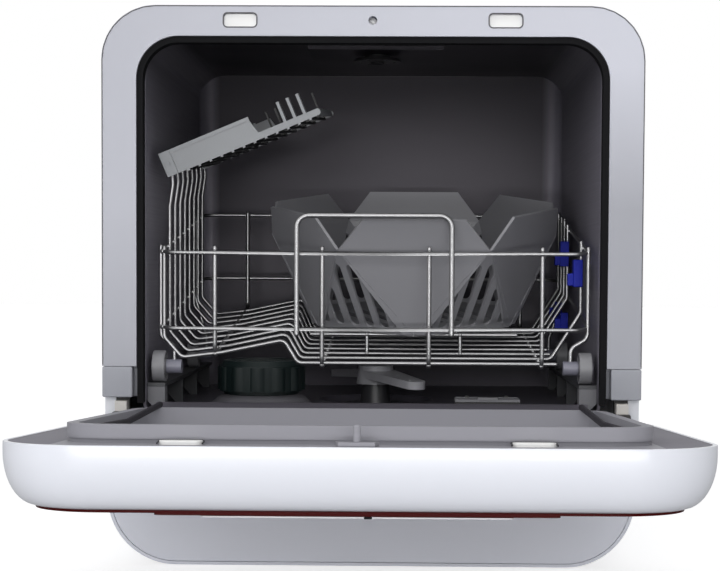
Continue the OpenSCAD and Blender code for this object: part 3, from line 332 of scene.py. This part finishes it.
# ---- Back panel ----
# A vented grey sheet, powder-coated, closes the back of the wrap. Round-headed zinc screws
# hold it down both sides and along the top.
dress(powder_coat("pan_grey", (0.36, 0.37, 0.40), 0.5), "rear_panel")

screw_r, screw_head, screw_sides, panel_t = 0.0034, 0.0016, 20, 0.003
side_x, side_low, side_pitch, side_screws = 0.202, 0.075, 0.075, 5
top_z, top_pitch = 0.427, 0.14
heads = Growth("round_heads", Radius=screw_r, Head=screw_head)
blank = heads.add("GeometryNodeMeshCylinder", {"fill_type": "NGON"},
                  {"Vertices": screw_sides, "Radius": heads.given["Radius"], "Depth": heads.given["Head"]},
                  "Mesh")
facing = heads.add("FunctionNodeEulerToRotation", None, {0: (math.pi / 2, 0.0, 0.0)})
heads.finish(heads.add("GeometryNodeInstanceOnPoints", None,
                       {"Points": heads.given["Geometry"], "Instance": blank, "Rotation": facing}))
head_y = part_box("rear_panel")[0].y + panel_t + screw_head / 2
screw_spots = [(x, head_y, side_low + step * side_pitch)
               for x in (-side_x, side_x) for step in range(side_screws)]
screw_spots += [(step * top_pitch, head_y, top_z) for step in (-1, 0, 1)]
zinc = Finish("screw_zinc", {"Metallic": 1.0, "Roughness": 0.35})
swirl = zinc.noise(1400.0, 3.0)
zinc.feed(base_color=zinc.mix(swirl, (0.45, 0.45, 0.44, 1), (0.60, 0.60, 0.58, 1)),
          normal=zinc.bump(swirl, 0.00004))
heads.grow("panel_screws", screw_spots, [], zinc, "cabinet", Radius=screw_r, Head=screw_head)

# ---- Machine space ----
# Two pumps, a tubular steel heater, a water tank and the control board fill the space under
# and behind the tub.
turned = Finish("pin_steel", {"Metallic": 1.0})
rings = turned.noise(1.0, 2.0, (200.0, 200.0, 3000.0))
turned.feed(base_color=turned.mix(rings, (0.42, 0.42, 0.43, 1), (0.60, 0.60, 0.61, 1)),
            roughness=swing(0.32, (rings, 0.2)), normal=turned.bump(rings, 0.00002))
dress(turned, "heater")
dress(moulded("pump_grey", (0.08, 0.085, 0.095), 0.5), "wash_pump", "drain_pump")
dress(moulded("tank_clear", (0.5, 0.58, 0.62), 0.3), "water_tank")
dress(moulded("board_green", (0.02, 0.16, 0.06), 0.4), "control_board")

# ---- Tub ----
# Dark grey polypropylene with a fine horizontal brushing from its mould, and a black rubber gasket
# runs round the mouth. Its colour holds painted light and shade: the sides and floor are painted
# paler, and the back wall and the ceiling darker.
# Colours of painted light and shade in the one moulding: a shaded back wall, lit sides, a lit floor.
shaded_back_colour, lit_flank_colour = (0.0120, 0.0110, 0.0160, 1), (0.230, 0.220, 0.262, 1)
lit_floor_colour, streak_colour = (0.100, 0.095, 0.115, 1), (0.005, 0.005, 0.006, 1)
flank_x, flank_blend, crown_z, crown_blend, floor_z, floor_blend = 0.158, 0.012, 0.34, 0.075, 0.122, 0.012
crown_painted_shade, streak_share = 0.45, 0.28


def along(finish, axis):
    """How far a point lies along one of the piece's axes."""
    return finish.add("ShaderNodeSeparateXYZ", None, {"Vector": finish.place}, axis)


def ramp(finish, value, start, stop, low=0.0, high=1.0):
    """Goes from low to high while the value goes from start to stop, and no further."""
    return finish.add("ShaderNodeMapRange", None,
                      {"Value": value, "From Min": start, "From Max": stop, "To Min": low, "To Max": high})


tub_finish = Finish("tub_grey", {"Specular IOR Level": 0.36, "Specular Tint": (0.96, 0.91, 1.0, 1.0)})
strokes = tub_finish.noise(1.0, 3.0, (9.0, 9.0, 1500.0))
haze = tub_finish.noise(5.0)
outward, upward = abs(along(tub_finish, "X")), abs(along(tub_finish, "Z"))
# Painted light and shade by position: the sides and floor paler, the ceiling darkened toward black.
lit_flank_mask = ramp(tub_finish, outward, flank_x, flank_x + flank_blend)
shaded_crown_mask = ramp(tub_finish, upward, crown_z, crown_z + crown_blend)
above_lit_floor_mask = ramp(tub_finish, upward, floor_z, floor_z + floor_blend)
painted_light_walls = tub_finish.mix(lit_flank_mask, shaded_back_colour, lit_flank_colour)
painted_light_walls = tub_finish.mix(shaded_crown_mask, painted_light_walls, tub_finish.mix(crown_painted_shade, painted_light_walls, black))
painted_light_walls = tub_finish.mix(above_lit_floor_mask, lit_floor_colour, painted_light_walls)
tub_finish.feed(base_color=tub_finish.mix((strokes * 0.5 + haze * 0.5) * streak_share, painted_light_walls, streak_colour),
                roughness=swing(0.37, (strokes, 0.14), (haze, 0.10)),
                normal=tub_finish.bump(strokes, 0.00003))
dress(tub_finish, "tub")
smooth("tub")
seal_rubber = moulded("seal_black", (0.006, 0.006, 0.007), 0.75, gloss=0.12)
dress(seal_rubber, "tub_gasket")

# ---- Tub fittings ----
# Grey and black mouldings clip into the tub: the spray hub over its sump, the salt neck, the
# detergent box, the holder of the upper nozzle, and the wheel tracks with their end blocks.
dress(moulded("well_grey", (0.045, 0.045, 0.050), 0.34), "spray_hub", "sump")
dress(moulded("neck_grey", (0.115, 0.113, 0.125), 0.30), "salt_neck")
dress(moulded("box_black", (0.02, 0.02, 0.02), 0.35), "detergent_box")
dress(moulded("nozzle_holder_black", (0.012, 0.012, 0.013), 0.5, gloss=0.2), "nozzle_holder")
dress(moulded("track_grey", (0.060, 0.062, 0.068), 0.5), "wheel_tracks")
dress(moulded("block_grey", (0.17, 0.17, 0.185), 0.5), "track_blocks")
soften(0.0006, "track_blocks", "salt_neck")

# ---- Front frame ----
# A satin silver moulding clips round the mouth, with two separate end caps at its lower ends.
# Its tone is painted light and shade: darker towards the bottom, palest at the upper right.
# Where its outer edge meets the powder-coated wrap, a narrow dark line of painted shade runs up
# one side and down the other.
frame_colour, frame_foot, frame_crown, frame_half = (0.49, 0.50, 0.56), 0.155, 0.430, 0.20
left_light_tones, right_light_tones, light_knee, crown_knee, brightest = (0.71, 0.93), (0.69, 1.20), 0.45, 0.85, 1.3
frame_finish = Finish("frame_silver")
drift, satin = frame_finish.noise(9.0, 3.0), frame_finish.noise(3200.0, 3.0)
across = ramp(frame_finish, along(frame_finish, "X"), -frame_half, frame_half)
climb = ramp(frame_finish, along(frame_finish, "Z"), frame_foot, frame_crown)
# Painted light and shade: the left bar pales from its foot to mid-height, the right bar stays dark to
# mid-height and then pales to the top, and the top bar pales towards the right.
left_bar_light = ramp(frame_finish, climb, 0.0, light_knee, *left_light_tones)
right_bar_light = ramp(frame_finish, climb, light_knee, crown_knee, *right_light_tones)
tone = swing(0.0, (drift, 0.03), (satin, 0.02)) + left_bar_light + (right_bar_light - left_bar_light) * across
frame_finish.feed(base_color=frame_finish.mix(tone * (1 / brightest), black, shade(frame_colour, brightest)),
                  roughness=swing(0.36, (drift, 0.12), (satin, 0.10)),
                  normal=frame_finish.bump(satin, 0.00003))
dress(frame_finish, "front_frame")
smooth("front_frame")
cap_finish = moulded("cap_silver", (0.33, 0.34, 0.38), 0.4, 3200.0, 0.00003, 0.02)
dress(cap_finish, "frame_end_left", "frame_end_right")
soften(0.0009, "frame_end_left", "frame_end_right")

wire_sides, bend_steps, ball_rings = 14, 7, 8
wires = Growth("round_wires", Radius=0.0016, Bend=0.007)
path = wires.add("GeometryNodeMeshToCurve", None, {"Mesh": wires.given["Geometry"]})
bent = wires.add("GeometryNodeFilletCurve", {"mode": "POLY"},
                 {"Curve": path, "Count": bend_steps, "Radius": wires.given["Bend"], "Limit Radius": True})
ring = wires.add("GeometryNodeCurvePrimitiveCircle", None,
                 {"Resolution": wire_sides, "Radius": wires.given["Radius"]}, "Curve")
tube = wires.add("GeometryNodeCurveToMesh", None, {"Curve": bent, "Profile Curve": ring, "Fill Caps": True})
tips = wires.add("GeometryNodeCurveEndpointSelection", None, {"Start Size": 1, "End Size": 1})
ball = wires.add("GeometryNodeMeshUVSphere", None,
                 {"Segments": wire_sides, "Rings": ball_rings, "Radius": wires.given["Radius"]}, "Mesh")
ends = wires.add("GeometryNodeInstanceOnPoints", None, {"Points": path, "Selection": tips, "Instance": ball})
join = wires.tree.nodes.new("GeometryNodeJoinGeometry")
for part in (tube, ends):
    wires.tree.links.new(part, join.inputs[0])
wires.finish(join.outputs[0])


def bend_wires(name, paths, radius, bend, finish, body, closed=False):
    """One piece of round wire or bead along these paths, with its corners bent and its ends rounded."""
    points, edges = [], []
    for spots in paths:
        start = len(points)
        points += spots
        edges += [(i, i + 1) for i in range(start, len(points) - 1)]
        if closed:
            edges.append((len(points) - 1, start))
    return wires.grow(name, points, edges, finish, body, Radius=radius, Bend=bend)


frame_face, edge_r, edge_x, edge_high, edge_foot, edge_bend = -0.196, 0.00045, 0.20955, 0.4345, 0.157, 0.0415
# The dark bead along the frame's outer edge is painted shade for the gap where it meets the wrap; the same
# dark finish rims the catch windows.
shade_line_finish = moulded("painted_shade_dark", (0.10, 0.10, 0.11), 0.45)
edge_path = [(x, frame_face, z) for x, z in
             ((-edge_x, edge_foot), (-edge_x, edge_high), (edge_x, edge_high), (edge_x, edge_foot))]
bend_wires("frame_edge_shade_line", [edge_path], edge_r, edge_bend, shade_line_finish, "cabinet")

# ---- Catches ----
# Two white catch blocks and the latch switch sit in the frame's upper bar. Each block shows
# in a window edged with a dark line of painted shade, and the switch's round tip lies 8 mm deep in its hole.
window_x, window_z, window_w, window_h, window_r = 0.1025, 0.4237, 0.026, 0.011, 0.0032
tip_depth, tip_r, tip_t, rim_r = 0.0082, 0.0029, 0.001, 0.0005
catch_finish = moulded("catch_white", (0.93, 0.93, 0.92), 0.4)
dress(catch_finish, "catch_blocks", "latch_switch")
tip_finish = moulded("tip_white", (0.90, 0.90, 0.89), 0.4)
tip_at = (0.0, frame_face + tip_depth, window_z)
heads.grow("latch_tip", [tip_at], [], tip_finish, "cabinet", Radius=tip_r, Head=tip_t)
# A window's corners in halves of its size. The loop starts and ends on the lower edge.
window_loop = ((0, -1), (1, -1), (1, 1), (-1, 1), (-1, -1), (-0.2, -1))
window_paths = [[(x + a * window_w / 2, frame_face, window_z + b * window_h / 2) for a, b in window_loop]
                for x in (-window_x, window_x)]
# Dark beads of painted shade line the edges of both windows.
bend_wires("catch_shade_rims", window_paths, rim_r, window_r, shade_line_finish, "cabinet", closed=True)

# ---- Hinges ----
# Black brackets on the base carry the door's steel pins, each beside a cream plastic block
# that shows in the notch at the mouth's lower corner.
dress(moulded("hinge_dark", (0.02, 0.02, 0.02), 0.5), "hinge_brackets")
dress(moulded("block_cream", (0.62, 0.60, 0.57), 0.45), "hinge_blocks")
dress(turned, "hinge_pins")

# ---- Door ----
# A deep gloss-white shell with a rounded edge carries a dark red gloss front panel and a grey
# liner, whose raised step fills the mouth. A light trim strip is let into the panel. Beside the
# step, the liner's margins are darkened with painted shade.
door_colour, door_spread = (0.80, 0.82, 0.885), 0.015
panel_dark, panel_pale = (0.045, 0.0035, 0.0035, 1), (0.062, 0.005, 0.005, 1)
liner_colour, shaded_margin_colour = (0.305, 0.303, 0.335), (0.16, 0.155, 0.185)
margin_x, liner_spread = 0.1775, 0.03
door_finish = Finish("door_white", {"Coat Weight": 0.12})
wave, dust = door_finish.noise(4.0), door_finish.noise(2400.0)
door_finish.feed(base_color=toned(door_finish, wave, door_colour, door_spread),
                 roughness=swing(0.315, (wave, 0.06), (dust, 0.05)), normal=door_finish.bump(dust, 0.00001))
dress(door_finish, "door_shell")
lacquer = Finish("panel_red", {"Coat Weight": 0.005, "Specular IOR Level": 0.02})
cast, fleck = lacquer.noise(6.0), lacquer.noise(3000.0)
lacquer.feed(base_color=lacquer.mix(cast * 0.6 + fleck * 0.4, panel_dark, panel_pale),
             roughness=swing(0.185, (fleck, 0.05)), normal=lacquer.bump(fleck, 0.00001))
dress(lacquer, "door_front_panel")
smooth("door_shell", "door_front_panel")
liner_finish = Finish("liner_grey", {"Specular IOR Level": 0.14})
patch, pore = liner_finish.noise(9.0, 3.0), liner_finish.noise(2200.0, 3.0)
# Painted shade: outside margin_x on either side, the liner takes the darker margin colour.
blotch, in_shaded_margin = patch * 0.7 + pore * 0.3, abs(along(liner_finish, "X")) > margin_x
field = toned(liner_finish, blotch, liner_colour, liner_spread)
shaded_margin = toned(liner_finish, blotch, shaded_margin_colour, liner_spread)
liner_finish.feed(base_color=liner_finish.mix(in_shaded_margin, field, shaded_margin),
                  roughness=swing(0.53, (patch, 0.12), (pore, 0.10)), normal=liner_finish.bump(pore, 0.00004))
dress(liner_finish, "door_liner", "latch_pin")
dress(moulded("trim_silver", (0.64, 0.63, 0.66), 0.35), "panel_trim")
dress(catch_finish, "strike_blocks")
soften(0.0009, "door_liner", "panel_trim", "strike_blocks")
dress(seal_rubber, "door_seal")

tab_left, tab_right, tab_y, tab_z, tab_r, tab_bend = 0.0048, 0.0082, -0.5033, 0.0876, 0.00075, 0.0001
tab_path = [(x, tab_y, tab_z) for x in (tab_left, tab_right)]
bend_wires("trim_tab", [tab_path], tab_r, tab_bend, seal_rubber, "door")

# ---- Door seals and strike rims ----
# A soft dark lip is pressed along each side of the liner's step. It climbs the step toward
# the hinge and turns in at its near end. The white strikes at the near edge have dark rims of painted shade.
hinge_y, hinge_z, door_lean = -0.2005, 0.1145, math.radians(3.0)
lip_x, lip_r, lip_bend, lip_near, lip_far = 0.1615, 0.0023, 0.020, 0.286, 0.016
strike_out, strike_w, strike_d, strike_high = 0.2997, 0.0264, 0.0104, 0.0012


def on_door(x, out, over):
    """A point on the open door: its distance out from the hinge line, and its height over that line."""
    return (x, hinge_y - out * math.cos(door_lean) + over * math.sin(door_lean),
            hinge_z + out * math.sin(door_lean) + over * math.cos(door_lean))


# The lip's line: how far it turns in, how far out it is and how high it lies.
lip_line = ((0.014, lip_near, 0.0055), (0.005, lip_near - 0.012, 0.006), (0.0, lip_near - 0.040, 0.006),
            (0.0, 0.150, 0.005), (0.0, lip_far, 0.012))
lip_paths = [[on_door(s * (lip_x - turn_in), out, over) for turn_in, out, over in lip_line] for s in (-1, 1)]
lip_rubber = moulded("lip_rubber", (0.030, 0.028, 0.034), 0.6, gloss=0.2)
bend_wires("door_side_seals", lip_paths, lip_r, lip_bend, lip_rubber, "door")
# A strike's corners in halves of its size, with their heights. Its far side has no rim.
strike_loop = ((-1, 1, 0.0), (-1, -1, strike_high), (1, -1, strike_high), (1, 1, 0.0))
strike_paths = [[on_door(x + a * strike_w / 2, strike_out + b * strike_d / 2, over)
                 for a, b, over in strike_loop] for x in (-window_x, window_x)]
# Dark beads of painted shade line three sides of each strike.
strike_shade_finish = moulded("strike_painted_shade", (0.03, 0.03, 0.035), 0.5, gloss=0.2)
bend_wires("strike_shade_rims", strike_paths, rim_r, window_r, strike_shade_finish, "door")

# ---- Rack ----
# Drawn steel wire, welded at every crossing and plated: two rail loops, four long wires that
# stand up at both ends, nine cross wires, four wheel legs, two raised bars and a handle.
rack_x, rack_w, rack_front, rack_d = 0.0014, 0.339, -0.178, 0.250
rail_r, post_r, row_r, grip_r = 0.0016, 0.0018, 0.0016, 0.0021
rail_bend, post_bend, row_bend, grip_bend = 0.014, 0.008, 0.0065, 0.0095
rail_top_z, rail_low_z, floor_row_z = 0.2445, 0.1847, 0.157
rail_slope, floor_slope, raised_slope = 8.8, 5.0, 7.3
rows, first_row, row_pitch, stub_rows, stub_x = 9, rack_front + 0.006, 0.0275, (0, 2, 3, 4), 0.1455
side, weld_bite = rack_w / 2, 0.0003

steel_dark, steel_pale = (0.24, 0.24, 0.245, 1), (0.38, 0.38, 0.385, 1)
plated = Finish("rack_steel", {"Metallic": 1.0})
drawn, tarnish = plated.noise(1600.0, 3.0), plated.noise(16.0, 3.0)
plated.feed(base_color=plated.mix(tarnish * 0.6 + drawn * 0.4, steel_dark, steel_pale),
            roughness=swing(0.35, (drawn, 0.12), (tarnish, 0.14)),
            normal=plated.bump(drawn, 0.00003))


def rise(slope, run):
    return run * math.tan(math.radians(slope))


def rail_high(y):
    return rail_top_z + rise(rail_slope, y - rack_front)


def rail_low(y):
    return rail_low_z + rise(rail_slope, y - rack_front)


def floor_of(y):
    return floor_row_z + rise(floor_slope, y - rack_front)


def raised(y):
    """How far the raised left part of the floor has climbed away from the rest."""
    return rise(raised_slope, y - first_row) - rise(floor_slope, y - first_row)


def draw_wires(name, paths, radius, bend, stands_for, closed=False):
    piece = bend_wires(name, paths, radius, bend, plated, "rack", closed)
    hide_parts(*stands_for)


# A rail's corners, from the middle of its front side. The loop ends a little short of there.
rail_end, rack_back = -0.020, rack_front + rack_d
rail_corners = ((0.0, rack_front), (side, rack_front), (side, rack_back), (-side, rack_back),
                (-side, rack_front), (rail_end, rack_front))
rail_paths = [[(rack_x + x, y, height_at(y)) for x, y in rail_corners] for height_at in (rail_low, rail_high)]
draw_wires("rack_rails_wire", rail_paths, rail_r, rail_bend, ["rack_rails"], closed=True)

post_in, post_under = rail_r + post_r - weld_bite, row_r + post_r - weld_bite
front_y, back_y = rack_front + post_in, rack_back - post_in
post_x = [rack_x + share * rack_w for share in (-0.3717, -0.1212, 0.1286, 0.392)]
front_head, back_head = 0.0035, 0.002
hump_x, hump_h, crest_half, crest_climb = -0.070, 0.0172, 0.012, 0.19


def post_foot(x, y):
    """The height of a long wire, which runs under the cross wires and follows their hump on the left."""
    over = hump_h + (x - hump_x + crest_half) * crest_climb + raised(y) if x < hump_x else 0.0
    return floor_of(y) - post_under + over


long_paths = [[(x, front_y, rail_high(front_y) + front_head), (x, front_y, post_foot(x, front_y)),
               (x, back_y, post_foot(x, back_y)), (x, back_y, rail_high(back_y) + back_head)] for x in post_x]
leg_rows, hub_x, wheel_z = (rack_front + 0.008, rack_front + 0.198), 0.1574, 0.1542
knee_drop, ankle_rise, axle_gap = 0.008, 0.016, 0.004
leg_paths = [[(rack_x + s * side, y, rail_high(y) + front_head),
              (rack_x + s * side, y, rail_low(y) - knee_drop),
              (s * hub_x, y, wheel_z + ankle_rise), (s * hub_x, y, wheel_z + axle_gap)]
             for s in (-1, 1) for y in leg_rows]
draw_wires("rack_long_wires_bent", long_paths + leg_paths, post_r, post_bend, ["rack_long_wires"])

row_in = rail_r + row_r - weld_bite
row_left, row_right, bevel_w, bevel_h = rack_x - side + row_in, rack_x + side - row_in, 0.024, 0.038
rod_x, rod_y, rod_z, rod_slope = -0.1636, -0.160, 0.3156, 5.5
rod_under, neck_drop, shoulder_drop, neck_out = 0.0013, 0.016, 0.034, 0.001
front_row_head, right_head, hump_foot = 0.003, 0.005, 0.011
# The raised left part of a cross wire: its places across, and their heights over the floor.
left_line = ((row_left, 0.020), (row_left + 0.014, 0.004), (hump_x - 0.049, 0.008), (hump_x, hump_h + 0.001))
side_weld, post_weld, left_weld = 0.0012, 0.0016, 0.00694
row_paths, welds = [], []
for k in range(rows):
    y = first_row + k * row_pitch
    floor, up = floor_of(y), raised(y)
    if k == 0:
        head = [(row_left, rail_high(y) + front_row_head)]
    else:
        top = rod_z + rise(rod_slope, y - rod_y) - rod_under
        head = [(rod_x, top), (rod_x + neck_out, top - neck_drop), (row_left, top - shoulder_drop)]
    left = [(x, floor + over + up) for x, over in left_line] + [(hump_x + hump_foot, floor)]
    if k in stub_rows:
        right = [(stub_x, floor)]
    else:
        right = [(row_right - bevel_w, floor), (row_right, floor + bevel_h),
                 (row_right, rail_high(y) + right_head)]
        welds.append((row_right + side_weld, y, rail_high(y)))
    row_paths.append([(x, y, z) for x, z in head + left + right])
    welds += [(row_left - side_weld, y, rail_high(y)), (row_left - side_weld, y, rail_low(y))]
    welds += [(x, y, floor - post_weld) for x in post_x if x > hump_x]
    welds.append((post_x[0], y, floor + left_weld + up))

bar_rows, bar_x, bar_half, bar_leg = (2, 6), 0.033, 0.0851, 0.0386
insert_y, insert_z, insert_tilt, insert_t, insert_gap = -0.045, 0.193, 8.3, 0.0022, 0.0005
insert_sole = insert_t / math.cos(math.radians(insert_tilt)) + row_r + insert_gap
for k in bar_rows:
    y = first_row + k * row_pitch
    bar_z = insert_z + rise(insert_tilt, y - insert_y) - insert_sole
    row_paths.append([(bar_x - bar_half, y, bar_z), (bar_x + bar_half, y, bar_z)])
    for x in (bar_x - bar_leg, bar_x + bar_leg):
        row_paths.append([(x, y, floor_of(y)), (x, y, bar_z)])
        welds += [(x, y, floor_of(y)), (x, y, bar_z)]
draw_wires("rack_rows_wire", row_paths, row_r, row_bend,
           ["rack_side_wires", "rack_floor_wires", "rack_right_wires"])

grip_x, grip_half, grip_top, grip_low = 0.0016, 0.061, 0.274, rail_low_z - 0.004
grip_y = rack_front - rail_r - grip_r + weld_bite
grip_path = [(grip_x - grip_half, grip_y, grip_low), (grip_x - grip_half, grip_y, grip_top),
             (grip_x + grip_half, grip_y, grip_top), (grip_x + grip_half, grip_y, grip_low)]
draw_wires("rack_grip_wire", [grip_path], grip_r, grip_bend, ["rack_handle"])

nugget_r, nugget_sides, nugget_rings = 0.0022, 10, 6
nuggets = Growth("weld_nuggets", Radius=nugget_r)
nugget = nuggets.add("GeometryNodeMeshUVSphere", None,
                     {"Segments": nugget_sides, "Rings": nugget_rings, "Radius": nuggets.given["Radius"]},
                     "Mesh")
nuggets.finish(nuggets.add("GeometryNodeInstanceOnPoints", None,
                           {"Points": nuggets.given["Geometry"], "Instance": nugget}))
for x in post_x:
    welds += [(x, front_y - post_weld, height_at(front_y)) for height_at in (rail_low, rail_high)]
    welds += [(x, back_y + post_weld, height_at(back_y)) for height_at in (rail_low, rail_high)]
weld_set = nuggets.grow("rack_welds", welds, [], plated, "rack", Radius=nugget_r)

# ---- Rack wheels and clips ----
# Grey wheels with a raised rim turn on lilac-grey hubs that clip to the wheel legs. Blue
# clips on the right side set the height of a folding row.
wheel_names = ["wheel_" + corner for corner in ("front_left", "front_right", "rear_left", "rear_right")]
dress(moulded("hub_lilac", (0.22, 0.22, 0.27), 0.36), "wheel_hubs")
dress(moulded("wheel_grey", (0.25, 0.25, 0.265), 0.42), *wheel_names)
dress(moulded("clip_blue", (0.006, 0.014, 0.30), 0.45, gloss=0.15), "height_clips")
soften(0.0007, *wheel_names, "wheel_hubs", "height_clips")

# ---- Cup shelf ----
# A grey moulded tray tilts on the rod along the rack's left side. Dark slats and fins fill it
# behind its lighter end wall.
dress(moulded("tray_grey", (0.26, 0.27, 0.285), 0.4), "shelf_tray", "shelf_rod")
dress(moulded("grille_black", (0.012, 0.012, 0.013), 0.5), "shelf_grille")
soften(0.0004, "shelf_tray")

# ---- Petal insert ----
# Six folded petals with outward flaps, six slotted corner panels and a slotted floor, moulded
# in grey plastic, stand on the rack's two raised bars and lift out.
dress(moulded("insert_grey", (0.25, 0.25, 0.268), 0.42), "petal_insert", "insert_grilles", "insert_base")
smooth("petal_insert")

# ---- Spray arms and caps ----
# The lower arm and the upper nozzle turn on fixed hubs. The salt cap screws into its neck,
# and the lid of the detergent box swings on a pin.
dress(moulded("arm_grey", (0.43, 0.43, 0.46), 0.34), "lower_spray_arm")
smooth("lower_spray_arm")
dress(moulded("nozzle_black", (0.015, 0.015, 0.016), 0.35), "top_nozzle")
dress(moulded("cap_green", (0.006, 0.012, 0.012), 0.4, gloss=0.25), "salt_cap")
dress(moulded("lid_grey", (0.20, 0.20, 0.215), 0.38), "detergent_lid")
soften(0.0006, "salt_cap", "detergent_lid")
